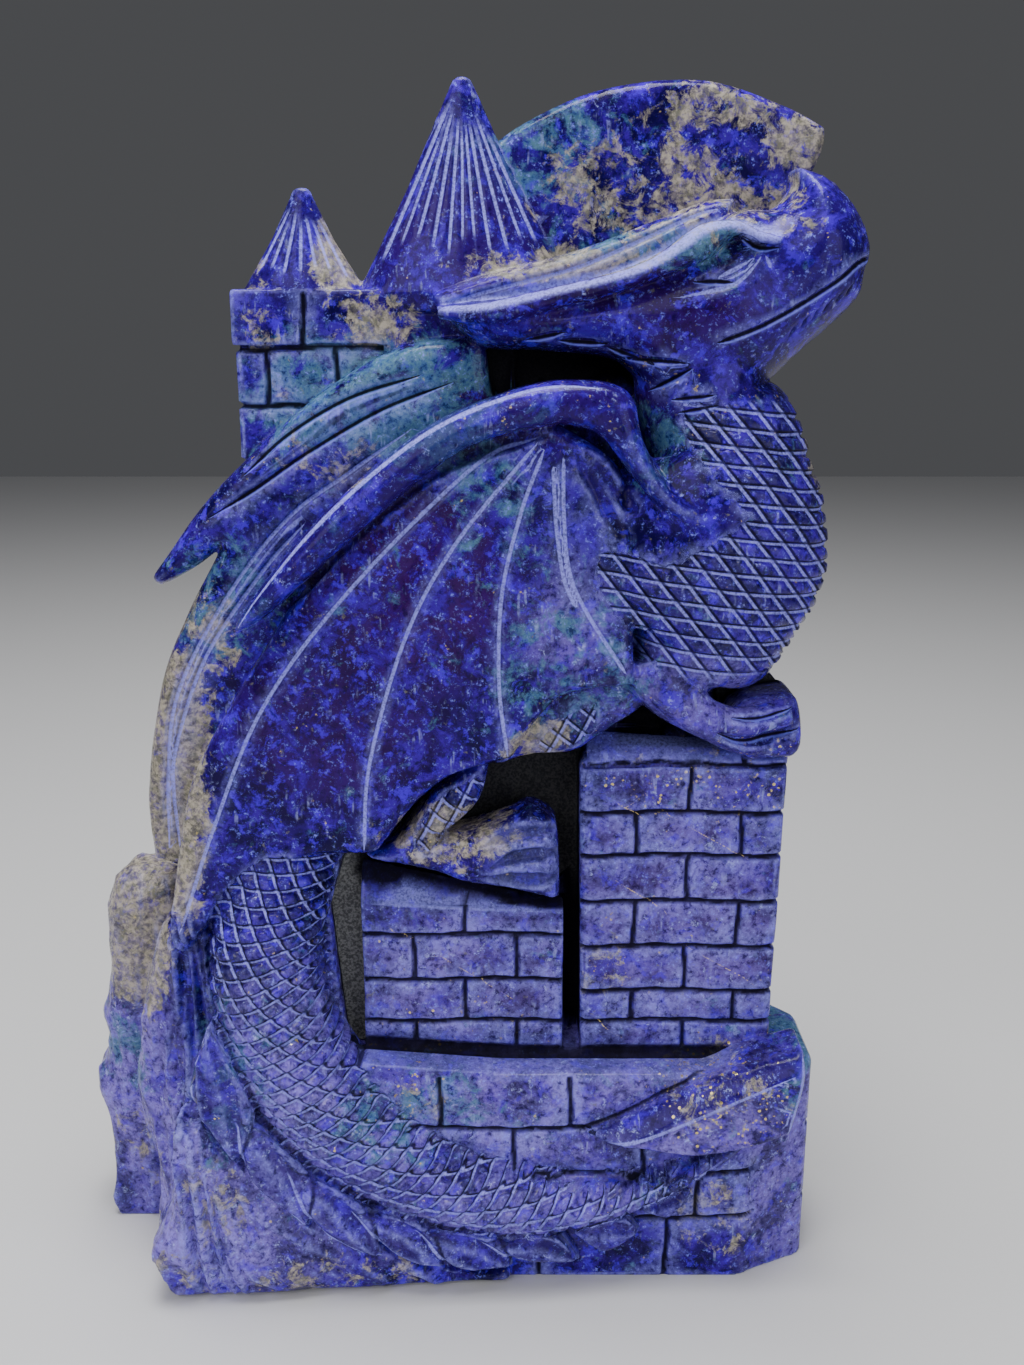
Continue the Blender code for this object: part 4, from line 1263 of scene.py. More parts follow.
        # The toe valleys are ground with pale dust and painted shade.
        for line in ([(3.9, 83.6), (7.7, 85.1), (11, 85.5), (16, 86)],
                     [(4.7, 79.3), (7.7, 80.8), (11.1, 81.5), (16.4, 82)],
                     [(3.8, 77.4), (8.5, 77), (11.9, 77), (16.4, 77.6)]):
            stone.trace(foot, curve(line, 1), 1.7, 1.7, dust_and_highlight=0.25, dark_and_shade=0.35, fade=0.3)
        foot = stone.pick((38, -17, 97), (57, -4, 112), Side.FRONT)
        for line in ([(41.5, 103.9), (45.4, 102.3), (49.6, 102.5), (55.5, 103.8)],
                     [(43.6, 106.8), (47.6, 106.4), (54, 107.6)]):
            stone.trace(foot, curve(line, 1), 0.9, 1.2, Stroke.DARK, fade=0.3)

    def carve_scales(self, stone: Stone) -> None:
        """Grinds the scales of the neck, the belly and the hind shin.

        Args:
            stone: The whole stone.
        """
        where = stone.pick((18, -22, 110), (64, 16, 157))
        where = where[self.neck.on_surface(stone.points[where])]
        x, _, z = stone.points[where].T
        chest = np.array([(34, 157), (34.5, 152), (38, 146), (44.5, 139.6), (37, 134.6),
                          (31.5, 131.8), (26, 133.8), (20, 133.2), (17, 128), (22, 116),
                          (31, 111.5), (44, 112.6), (70, 112), (70, 157)])
        bare = np.where(stone.points[where, 1] < -2, inside(np.column_stack([x, z]), chest), True)
        strength = bare * ease(z, 112, 115) * ease(z, 157.5, 155.5)
        self.neck_scales.carve(stone, where[strength > 0], strength[strength > 0])
        for patch in ([(-9, 83.5), (-7.6, 87.1), (-5.9, 89.8), (-3.3, 92.5), (2.6, 95.6),
                       (3.9, 94.2), (1.7, 88.9), (-1.7, 85.3), (-6.4, 81.6)],
                      [(11.9, 97.8), (12.7, 101.3), (16, 104.8), (21.8, 107.8), (22.3, 103),
                       (19, 100), (15.2, 98.7)]):
            where = stone.pick((-11, -13, 80), (24, 0, 110), Side.FRONT)
            where = where[inside(stone.points[where][:, [0, 2]], np.array(patch))]
            self.belly_scales.carve(stone, where, np.ones(len(where)))


@dataclass
class Tail:
    """The tail round the plinth, its leaf spines and its spade."""

    body: Tube = field(default_factory=lambda: Tube(
        [(-24, 92, 8, 1, 9), (-30, 81, 9, 0, 11), (-33.8, 70, 9.7, -5, 12), (-34.8, 60, 10, -8, 13),
         (-33, 49.5, 10, -9, 13.3), (-28.8, 39.8, 9.9, -9.1, 13.3), (-22, 31, 9.4, -9.3, 12.9),
         (-12.6, 23.8, 8.4, -9.5, 12.1), (-2, 19, 7.4, -9.9, 11.3), (10, 16.6, 6.7, -9.9, 10.7),
         (22, 17, 5.2, -9.5, 9.9), (34, 20, 3.6, -9.1, 8.9), (44, 25, 2.2, -8.5, 7.9),
         (50, 29, 1.2, -7.9, 7.1)], 96))
    spines: Sequence[Sequence[Spot]] = (
        ((-43, 55), (-46.3, 42), (-39.5, 27.7), (-36, 40)),
        ((-39, 38), (-37, 25), (-28, 15), (-27, 27)),
        ((-31.3, 28.4), (-26, 15), (-15.3, 8.4), (-18, 20)),
        ((-20, 18.5), (-12.5, 9), (-3, 5.5), (-8, 16)),
        ((-9, 14), (-1.5, 5.6), (8.4, 5.3), (4, 13)),
        ((2.5, 11), (10, 6.6), (20.5, 5.7), (15, 12)),
        ((18, 12.5), (24.5, 7.6), (31.2, 11.3), (27, 15.5)),
        ((30, 16), (36, 14), (40, 18.4), (36, 20)))
    spade_top: Sequence[Spot] = ((20.5, 30.4), (28, 33.6), (36.2, 38.3), (44.6, 42.3),
                                 (52.9, 45.4), (58.6, 47.2))
    scales: Hatching = field(default_factory=lambda: Hatching(0, 2.9, 0, 2.5, 0.62, 0.75))
    turns: Sequence[tuple[float, float, float]] = ((0.0, 42, 108), (0.25, 38, 106),
                                                   (0.5, 14, 66), (0.7, 12, 58), (1.0, 8, 52))

    def bevel(self, spots: Array, reach: Array) -> Array:
        """Lets a band along the spade's upper edge slope back.

        Args:
            spots: Rows of x and z.
            reach: Not used here.

        Returns:
            How far the spade's front lies back at each spot.
        """
        gap = nearest(spots, curve(self.spade_top))[0]
        return 2.2 * ease(gap, 3.2, 0.2)

    def forms(self) -> Iterator[Skin]:
        """Builds the tail, the spines and the spade."""
        yield self.body.skin()
        for root, side, tip, inner in self.spines:
            yield Slab([[root, side, tip], [tip, inner, root]], -19.3, -3, 1.4, 1.3,
                       (0.075, 0.0), pitch=0.45).skin()
        yield Slab([list(self.spade_top), [(58.6, 47.2), (58.4, 41), (56.6, 32)],
                    [(56.6, 32), (49.5, 29.4), (40, 27.8), (31, 29), (20.5, 30.4)]],
                   -18.4, -6, 1.4, 1.2, (0.0, 0.0), self.bevel, 0.5).skin()

    def carve(self, stone: Stone) -> None:
        """Grinds the scales, and a line along each spine.

        Args:
            stone: The whole stone.
        """
        where = stone.pick((-47, -24, 8), (48, -4, 84))
        where = where[self.body.on_surface(stone.points[where], 0.1)]
        strength = ease(stone.points[where, 0], 47, 40)
        self.scales.carve(stone, where, strength, self.scale_counts(stone.points[where]))
        leaf = stone.pick((-50, -23, 3), (42, -12, 57), Side.FRONT)
        spots = stone.points[leaf][:, [0, 2]]
        for root, side, tip, inner in self.spines:
            middle = curve([root, tuple((np.array(side) + 2 * np.array(inner)) / 3), tip], 1)
            stone.trace(leaf, middle, 1.7, 0.8, fade=0.3)
            # Painted shade along each spine's inner edge, and a painted highlight along its outer
            # rim.
            stone.trace(leaf, curve([root, inner, tip], 1), 0.45, 0.5, dark_and_shade=0.7, fade=0.2)
            stone.trace(leaf, curve([root, side, tip], 1), 0.4, 0.0, Stroke.PALE_AND_HIGHLIGHT, fade=0.2)
            shape = outline([[root, side, tip], [tip, inner, root]])
            stone.paint(stone.rich, leaf, 0.85 * inside(spots, shape))
        self.carve_spade(stone)

    def carve_spade(self, stone: Stone) -> None:
        """Frees the spade with a line of painted shade, deepens the blue of its top band, and draws
        pale lines.

        Args:
            stone: The whole stone.
        """
        edge = curve(self.spade_top, 1)
        where = stone.pick((18, -19.5, 26), (61, -10, 50), Side.FRONT)
        off, share = signed(stone.points[where][:, [0, 2]], edge, 6)
        near = np.isfinite(off) & (share > 0.01) & (share < 0.99)
        where, off = where[near], off[near]
        # Painted shade in the line that frees the spade.
        stone.cut(where, np.abs(off - 0.4), 0.5, 0.4, 0.0, 0.9)
        stone.paint(stone.rich, where, ease(off, -3.6, -3.1) * ease(off, 0.1, -0.2))
        ridge = np.array([(19.5, 29), (30, 31.2), (44, 37.5), (56, 43.4)])
        stone.trace(where, curve(ridge, 1), 0.4, 0.0, Stroke.PALE_AND_HIGHLIGHT, fade=0.2)
        # Painted highlight along the spade's right edge.
        stone.trace(where, curve([(58.4, 46.8), (57.6, 40), (56, 32.6)], 1), 0.5, 0.0,
                    Stroke.PALE_AND_HIGHLIGHT, fade=0.1)

    def scale_counts(self, points: Array) -> list[Array]:
        """Counts the lines of both sets along the bent tail.

        Args:
            points: Rows of three coordinates on the tail.

        Returns:
            The number of lines passed at each point, for both sets.
        """
        along, left = self.body.place(points)
        length = float(along.max())
        grid = np.linspace(0, length, 200)
        counts = []
        for column, gap in ((1, self.scales.steep_gap), (2, self.scales.flat_gap)):
            turn = np.radians(np.interp(grid / length, [row[0] for row in self.turns],
                                        [row[column] for row in self.turns]))
            passed = np.concatenate([[0], np.cumsum(-np.sin(turn[:-1]) * np.diff(grid))]) / gap
            counts.append(np.interp(along, grid, passed)
                          + left * np.interp(along, grid, np.cos(turn)) / gap)
        return counts


@dataclass(frozen=True)
class Patch:
    """A soft oval of x and z where one mineral shows."""

    x: float
    z: float
    wide: float
    high: float
    strength: float = 1.0

    def share(self, points: Array) -> Array:
        """Gives how much of the mineral each point has."""
        away = np.hypot((points[:, 0] - self.x) / self.wide, (points[:, 2] - self.z) / self.high)
        return self.strength * ease(away, 1.35, 0.45)


class Mineral(Enum):
    """What shows in the blue stone besides the blue, by the name of its attribute."""

    CALCITE = "calcite"
    TEAL = "teal"
    PURPLE = "purple"
    GOLD = "gold"
    # Pale haze in the stone, partly painted light on the lower parts.
    HAZE_AND_LIGHT = "haze_and_light"


PATCHES: dict[Mineral, tuple[Patch, ...]] = {
    Mineral.CALCITE: (
        Patch(34, 188, 26, 10, 0.62), Patch(40, 202, 13, 5, 0.7), Patch(54, 197, 7, 6, 0.75),
        Patch(22, 192, 10, 8, 0.6), Patch(-51, 92, 9, 26, 1.2), Patch(-45, 117, 9, 12, 0.6),
        Patch(-22, 148, 12, 8, 0.45), Patch(-62, 62, 11, 17, 1.15), Patch(-20, 180, 5, 9, 0.95),
        Patch(-34, 176, 4, 5, 0.5), Patch(-14, 169, 9, 5, 0.75), Patch(-33, 168, 5, 6, 0.6),
        Patch(-30, 160, 5, 5, 0.4), Patch(-2, 85, 14, 7, 0.7), Patch(12, 101, 7, 5, 0.85),
        Patch(23, 58, 8, 7, 0.5), Patch(-8, 36, 9, 5, 0.5), Patch(45, 12, 9, 12, 0.5),
        Patch(-62, 20, 9, 12, 0.45), Patch(-52, 6, 12, 8, 0.5), Patch(-22, 5, 20, 6, 0.5),
        Patch(-44, 20, 8, 10, 0.55), Patch(14, 177.5, 20, 3.5, 0.8), Patch(57, 150, 4, 9, 0.6),
        Patch(38, 96, 14, 4, 0.35), Patch(45, 38, 14, 9, 0.45)),
    Mineral.TEAL: (
        Patch(-14, 157, 26, 12, 1.0), Patch(28, 180, 18, 4, 0.9), Patch(14, 196, 14, 9, 0.7),
        Patch(17, 114, 15, 15, 0.55), Patch(4, 142, 9, 14, 0.5), Patch(-66, 38, 9, 9, 0.8),
        Patch(-10, 34, 16, 8, 0.7), Patch(60, 42, 6, 6, 0.9), Patch(30, 150, 5, 8, 0.7),
        Patch(-40, 124, 12, 12, 0.6), Patch(-40, 44, 10, 18, 0.5)),
    Mineral.PURPLE: (
        Patch(-8, 128, 18, 18, 0.6), Patch(-2, 182, 16, 11, 0.5), Patch(-22, 104, 18, 14, 0.4),
        Patch(10, 156, 22, 6, 0.5), Patch(38, 66, 20, 26, 0.45), Patch(0, 56, 18, 12, 0.45),
        Patch(26, 170, 26, 8, 0.3)),
    # These ovals lie mostly low, where the haze is partly painted light.
    Mineral.HAZE_AND_LIGHT: (
        Patch(38, 68, 22, 34, 0.55), Patch(0, 56, 21, 16, 0.75), Patch(18, 33, 44, 11, 0.8),
        Patch(0, 16, 48, 9, 0.5), Patch(-30, 44, 14, 22, 0.75),
        Patch(36, 110, 16, 8, 0.5), Patch(-46, 20, 26, 22, 0.9), Patch(47, 36, 14, 10, 0.5),
        Patch(58, 20, 10, 24, 0.7), Patch(-63, 30, 12, 34, 0.9), Patch(17, 121, 8, 10, 0.5)),
    Mineral.GOLD: (
        Patch(45, 37, 15, 9, 1.0), Patch(40, 91, 20, 6, 0.9), Patch(-10, 38, 12, 7, 0.7),
        Patch(-2, 50, 18, 10, 0.4), Patch(20, 157, 30, 8, 0.4), Patch(24, 58, 9, 8, 0.6),
        Patch(48, 102, 9, 6, 0.6)),
}


@dataclass(frozen=True)
class Finish:
    """Polished blue stone with its other minerals, colours as linear values."""

    name: str = "blue_stone"
    navy: tuple[float, float, float] = (0.0042, 0.0003, 0.042)
    deep: tuple[float, float, float] = (0.015, 0.0006, 0.12)
    ultramarine: tuple[float, float, float] = (0.036, 0.0008, 0.30)
    royal: tuple[float, float, float] = (0.062, 0.002, 0.68)
    # Pale flecks, also used for the painted highlight under dark lines.
    fleck_and_highlight: tuple[float, float, float] = (0.20, 0.23, 1.0)
    frost: tuple[float, float, float] = (0.40, 0.46, 0.92)
    purple: tuple[float, float, float] = (0.045, 0.0035, 0.105)
    # Pale lavender haze, partly painted light that brightens the lower parts.
    haze_and_light: tuple[float, float, float] = (0.26, 0.195, 0.70)
    teal: tuple[float, float, float] = (0.040, 0.11, 0.27)
    teal_green: tuple[float, float, float] = (0.085, 0.20, 0.25)
    calcite: tuple[float, float, float] = (0.42, 0.375, 0.30)
    olive: tuple[float, float, float] = (0.15, 0.145, 0.105)
    gold: tuple[float, float, float] = (0.72, 0.56, 0.22)
    # Pale powder, also used for painted highlights on edges, rims and the horn.
    dust_and_highlight: tuple[float, float, float] = (0.30, 0.31, 0.95)
    # Near black, for dark lines and for painted shade.
    dark_and_shade: tuple[float, float, float] = (0.0022, 0.0018, 0.006)
    rough: tuple[float, float, float] = (0.20, 0.205, 0.205)
    rough_dark: tuple[float, float, float] = (0.07, 0.072, 0.076)
    specular: float = 0.13

    def material(self) -> bpy.types.Material:
        """Builds the material."""
        return StoneShader(self).build()


class StoneShader:
    """The node tree of the polished stone."""

    def __init__(self, finish: Finish) -> None:
        """Starts an empty material for the finish."""
        self.finish = finish
        self.material = bpy.data.materials.new(finish.name)
        self.material.use_nodes = True
        self.tree = self.material.node_tree
        self.shader = self.tree.nodes["Principled BSDF"]
        self.shader.inputs["Specular IOR Level"].default_value = finish.specular
        self.place = self.tree.nodes.new("ShaderNodeTexCoord").outputs["Object"]

    def link(self, value: object, socket: Socket) -> None:
        """Sets a socket to a number or a colour, or links another socket to it."""
        if isinstance(value, Socket):
            self.tree.links.new(value, socket)
        elif isinstance(value, tuple) and len(value) == 3 and socket.type == "RGBA":
            socket.default_value = (*value, 1.0)
        else:
            socket.default_value = value

    def noise(self, size: float, detail: float = 4.0, roughness: float = 0.6,
              distortion: float = 0.0, seed: float = 0.0,
              place: object = None) -> Socket:
        """Adds noise.

        Args:
            size: The width of its features in millimetres.
            detail: How many finer layers it has.
            roughness: How strong the finer layers are.
            distortion: How far it is stirred.
            seed: Picks another pattern.
            place: Where it is read, or none for the piece's own coordinates.

        Returns:
            The noise, from 0 to 1.
        """
        node = self.tree.nodes.new("ShaderNodeTexNoise")
        node.noise_dimensions = "4D"
        self.link(place or self.place, node.inputs["Vector"])
        for name, value in (("W", seed), ("Scale", 1 / (size * MM)), ("Detail", detail),
                            ("Roughness", roughness), ("Distortion", distortion)):
            node.inputs[name].default_value = value
        return node.outputs["Fac"]

    def span(self, value: object, low: float, high: float) -> Socket:
        """Maps a value smoothly.

        Args:
            value: The value.
            low: Where the result is 0. It may be the greater one.
            high: Where the result is 1.

        Returns:
            The result.
        """
        if low > high:
            return self.math("SUBTRACT", 1.0, self.span(value, high, low))
        node = self.tree.nodes.new("ShaderNodeMapRange")
        node.interpolation_type = "SMOOTHSTEP"
        self.link(value, node.inputs["Value"])
        node.inputs["From Min"].default_value = low
        node.inputs["From Max"].default_value = high
        return node.outputs["Result"]

    def math(self, operation: str, a: object, b: object = 0.0,
             clamp: bool = True) -> Socket:
        """Joins two values.

        Args:
            operation: Blender's name for what is done with them.
            a: The first value.
            b: The second value.
            clamp: Keeps the result between 0 and 1.

        Returns:
            The result.
        """
        node = self.tree.nodes.new("ShaderNodeMath")
        node.operation = operation
        node.use_clamp = clamp
        self.link(a, node.inputs[0])
        self.link(b, node.inputs[1])
        return node.outputs[0]

    def times(self, a: object, b: object) -> Socket:
        """Multiplies two values."""
        return self.math("MULTIPLY", a, b)

    def most(self, a: object, b: object) -> Socket:
        """Gives the greater of two values."""
        return self.math("MAXIMUM", a, b)

    def blend(self, kind: str, sockets: Sequence[int], values: Sequence[object]) -> Socket:
        """Mixes two values of one kind.

        Args:
            kind: Blender's name for the kind of value.
            sockets: The numbers of the three inputs and of the output that it uses.
            values: The share of the second value, and the two values.

        Returns:
            The mixed value.
        """
        node = self.tree.nodes.new("ShaderNodeMix")
        node.data_type = kind
        for number, value in zip(sockets, values):
            self.link(value, node.inputs[number])
        return node.outputs[sockets[3]]

    def mix(self, share: object, a: object, b: object) -> Socket:
        """Mixes two colours."""
        return self.blend("RGBA", (0, 6, 7, 2), (share, a, b))

    def level(self, share: object, a: object, b: object) -> Socket:
        """Mixes two numbers."""
        return self.blend("FLOAT", (0, 2, 3, 0), (share, a, b))

    def mask(self, name: str) -> Socket:
        """Reads one of the values stored on the mesh."""
        node = self.tree.nodes.new("ShaderNodeAttribute")
        node.attribute_name = name
        return node.outputs["Fac"]

    def stroke(self, kind: Stroke, half_width: float, soft: float = 0.12,
               centre: float = 0.0) -> Socket:
        """Draws the lines of one kind.

        Args:
            kind: The kind of stroke.
            half_width: How wide the line is to each side.
            soft: Over what distance it fades.
            centre: The signed distance from the stroke where its middle lies.

        Returns:
            The line's strength.
        """
        offset = self.mask(kind.value)
        away = self.math("ABSOLUTE", self.math("SUBTRACT", offset, centre, False), 0.0, False)
        line = self.span(away, half_width + soft, max(half_width - soft, 0.0))
        return self.times(line, self.mask(kind.value + "_near"))

    def build(self) -> bpy.types.Material:
        """Joins the layers, from the blue ground to the lines ground into it."""
        finish = self.finish
        grain = self.noise(1.25, 5, 0.72, 0.3, 2)
        fine = self.noise(0.42, 3, 0.62, 0.0, 3)
        cloud = self.noise(5.5, 8, 0.74, 0.5, 4)
        colour = self.ground(grain, fine, cloud)
        colour, calcite = self.calcite(colour, grain)
        gold = self.gold_specks()
        colour = self.mix(gold, colour, finish.gold)
        # Convex edges made pale: worn edges, and a painted highlight.
        edge = self.times(self.mask("edge"), self.span(grain, 0.3, 0.6))
        lined = self.most(self.mask("scales"), self.mask("fluted"))
        edge = self.times(edge, self.level(lined, 0.5, 0.08))
        colour = self.mix(edge, colour, finish.dust_and_highlight)
        rough = self.span(self.mask("rough"), 0.0, 0.5)
        hollow = self.mix(self.span(fine, 0.4, 0.62), finish.rough_dark, finish.rough)
        # Painted shade: the less pale hollows go near black.
        hollow = self.mix(self.span(self.mask("rough"), 0.95, 0.55), hollow, finish.dark_and_shade)
        colour = self.mix(rough, colour, hollow)
        broken = self.level(self.span(fine, 0.36, 0.58), 0.45, 1.0)
        dust_and_highlight = self.times(self.mask("dust_and_highlight"), broken)
        pale, dark, rim = self.drawn_lines(broken)
        dust_and_highlight = self.most(dust_and_highlight, pale)
        # Pale dust in grooves, with painted highlights on rims, the horn and the shelf.
        colour = self.mix(self.times(dust_and_highlight, 0.85), colour, finish.dust_and_highlight)
        # Painted highlight under each dark line.
        colour = self.mix(self.times(rim, 0.6), colour, finish.fleck_and_highlight)
        # Dark lines, joints and painted shade go near black.
        dark_and_shade = self.most(self.mask("dark_and_shade"), dark)
        colour = self.mix(self.times(dark_and_shade, 0.94), colour, finish.dark_and_shade)
        vein = self.stroke(Stroke.VEIN, 0.09, 0.06)
        vein = self.times(vein, self.span(fine, 0.45, 0.55))
        colour = self.mix(self.times(vein, 0.8), colour, finish.gold)
        self.link(colour, self.shader.inputs["Base Color"])
        polish = self.level(calcite, self.level(self.span(grain, 0.35, 0.65), 0.12, 0.24), 0.3)
        worn = self.most(self.times(dust_and_highlight, 0.6),
                         self.most(self.times(rough, 0.9), self.times(dark_and_shade, 0.85)))
        self.link(self.most(polish, worn), self.shader.inputs["Roughness"])
        self.link(self.times(gold, 0.7), self.shader.inputs["Metallic"])
        self.bump(fine, grain, rough)
        return self.material

    def ground(self, grain: object, fine: object, cloud: object) -> Socket:
        """Mixes the blues, the purple and the teal, with crystals and flecks in them.

        Args:
            grain: Fine noise.
            fine: Finer noise.
            cloud: Coarse noise.

        Returns:
            The colour of the blue stone.
        """
        finish = self.finish
        broad = self.noise(8, 7, 0.66, 0.6, 1)
        colour = self.mix(self.span(broad, 0.44, 0.56), finish.navy, finish.deep)
        colour = self.mix(self.span(cloud, 0.48, 0.60), colour, finish.ultramarine)
        purple = self.times(self.mask("purple"), self.span(cloud, 0.60, 0.44))
        colour = self.mix(purple, colour, finish.purple)
        # Pale haze, partly painted light that lifts the lower parts.
        haze_and_light = self.times(self.mask("haze_and_light"), self.level(self.span(broad, 0.42, 0.58), 0.3, 1.0))
        haze_and_light = self.times(haze_and_light, self.level(self.span(grain, 0.40, 0.58), 0.5, 1.0))
        colour = self.mix(haze_and_light, colour, finish.haze_and_light)
        royal = self.times(self.span(self.noise(3.2, 7, 0.72, 0.4, 10), 0.53, 0.62),
                           self.level(self.mask("haze_and_light"), 0.85, 0.4))
        colour = self.mix(royal, colour, finish.royal)
        teal_noise = self.noise(4.5, 7, 0.72, 0.6, 5)
        teal = self.math("ADD", teal_noise, self.level(self.mask("teal"), 0.045, 0.25))
        colour = self.mix(self.times(self.span(teal, 0.62, 0.76), 0.85), colour,
                          self.mix(self.span(grain, 0.4, 0.6), finish.teal, finish.teal_green))
        rich = self.mix(self.span(cloud, 0.48, 0.66), finish.deep, finish.royal)
        colour = self.mix(self.times(self.mask("rich"), 0.8), colour, rich)
        flecks = self.times(self.span(grain, 0.53, 0.66), self.span(fine, 0.44, 0.60))
        colour = self.mix(self.times(flecks, 0.75), colour, finish.fleck_and_highlight)
        frost = self.math("ADD", self.noise(2.1, 6, 0.75, 0.5, 11),
                          self.times(self.mask("haze_and_light"), 0.07))
        frost = self.times(self.span(frost, 0.60, 0.70), self.span(fine, 0.38, 0.6))
        colour = self.mix(self.times(frost, 0.7), colour, finish.frost)
        scratched = self.times(self.scratches(), self.span(cloud, 0.42, 0.56))
        colour = self.mix(self.times(scratched, 0.35), colour, finish.frost)
        specks = self.span(self.noise(1.5, 4, 0.7, 0.3, 13), 0.62, 0.69)
        colour = self.mix(self.times(specks, 0.6), colour, finish.olive)
        return self.mix(self.times(self.span(grain, 0.47, 0.34), 0.75), colour, finish.navy)

    def scratches(self) -> Socket:
        """Draws short fine strokes side by side, as the grinding left them."""
        turned = self.tree.nodes.new("ShaderNodeMapping")
        self.link(self.place, turned.inputs["Vector"])
        turned.inputs["Rotation"].default_value = (0.0, math.radians(40), 0.0)
        turned.inputs["Scale"].default_value = (1.0, 0.4, 0.14)
        strokes = self.span(self.noise(0.62, 1, 0.4, 0.2, 14, turned.outputs["Vector"]), 0.56, 0.66)
        return self.times(strokes, self.span(self.noise(6, 3, 0.6, 0.3, 15), 0.54, 0.62))

    def calcite(self, colour: object, grain: object) -> tuple[Socket, Socket]:
        """Lays the grey mineral over the blue.

        Args:
            colour: The colour of the blue stone.
            grain: Fine noise.

        Returns:
            The colour, and the share of grey.
        """
        finish = self.finish
        field_noise = self.noise(3.4, 9, 0.72, 0.6, 6)
        lift = self.times(self.mask("calcite"), 0.40)
        share = self.span(self.math("ADD", field_noise, lift), 0.69, 0.78)
        share = self.times(share, self.level(self.span(grain, 0.40, 0.56), 0.45, 0.96))
        tint = self.mix(self.span(self.noise(1.6, 6, 0.72, 0.4, 7), 0.40, 0.60), finish.olive,
                        finish.calcite)
        return self.mix(share, colour, tint), share

    def drawn_lines(self, broken: object) -> tuple[Socket, ...]:
        """Draws the thin lines, the flutes and the scales.

        Args:
            broken: How much of the pale dust in them is left.

        Returns:
            Their pale share, their dark share with painted scale shade, and their painted
            highlight.
        """
        pale = self.times(self.stroke(Stroke.PALE_AND_HIGHLIGHT, 0.30), broken)
        dark = self.stroke(Stroke.DARK, 0.26)
        # Painted highlight just under each dark line.
        rim = self.stroke(Stroke.DARK, 0.16, 0.14, -0.52)
        away = self.math("PINGPONG", self.mask("flute"), 0.5, False)
        away = self.math("MULTIPLY", away, self.mask("flute_gap"), False)
        flute = self.times(self.span(away, 0.34, 0.12), self.mask("fluted"))
        pale = self.most(pale, self.times(flute, broken))
        scales = self.mask("scales")
        for name in ("steep", "flat"):
            count = self.mask(name)
            away = self.math("PINGPONG", count, 0.5, False)
            groove = self.times(self.span(away, 0.11, 0.04), scales)
            pale = self.most(pale, self.times(groove, broken))
            # Painted shade along one side of each scale groove.
            shade = self.math("PINGPONG", self.math("SUBTRACT", count, 0.15, False), 0.5, False)
            shade = self.times(self.span(shade, 0.11, 0.03), scales)
            dark = self.most(dark, self.times(shade, 0.85))
        return pale, dark, rim

    def gold_specks(self) -> Socket:
        """Scatters small bright grains, more of them where the gold mask is high."""
        cells = self.tree.nodes.new("ShaderNodeTexVoronoi")
        self.link(self.place, cells.inputs["Vector"])
        cells.inputs["Scale"].default_value = 1 / (0.95 * MM)
        grain = self.span(cells.outputs["Distance"], 0.36, 0.22)
        gate = self.noise(2.6, 5, 0.75, 0, 8)
        gate = self.math("ADD", gate, self.times(self.mask("gold"), 0.12))
        return self.times(grain, self.span(gate, 0.61, 0.68))

    def bump(self, fine: object, grain: object, rough: object) -> None:
        """Gives the polish its faint grain, and the broken stone its tooth.

        Args:
            fine: The finer noise.
            grain: The fine noise.
            rough: The share of broken stone.
        """
        node = self.tree.nodes.new("ShaderNodeBump")
        node.inputs["Distance"].default_value = 0.3 * MM
        self.link(self.level(rough, 0.10, 0.9), node.inputs["Strength"])
        self.link(self.math("ADD", self.times(fine, 0.5), self.times(grain, 0.5)),
                  node.inputs["Height"])
        self.link(node.outputs["Normal"], self.shader.inputs["Normal"])


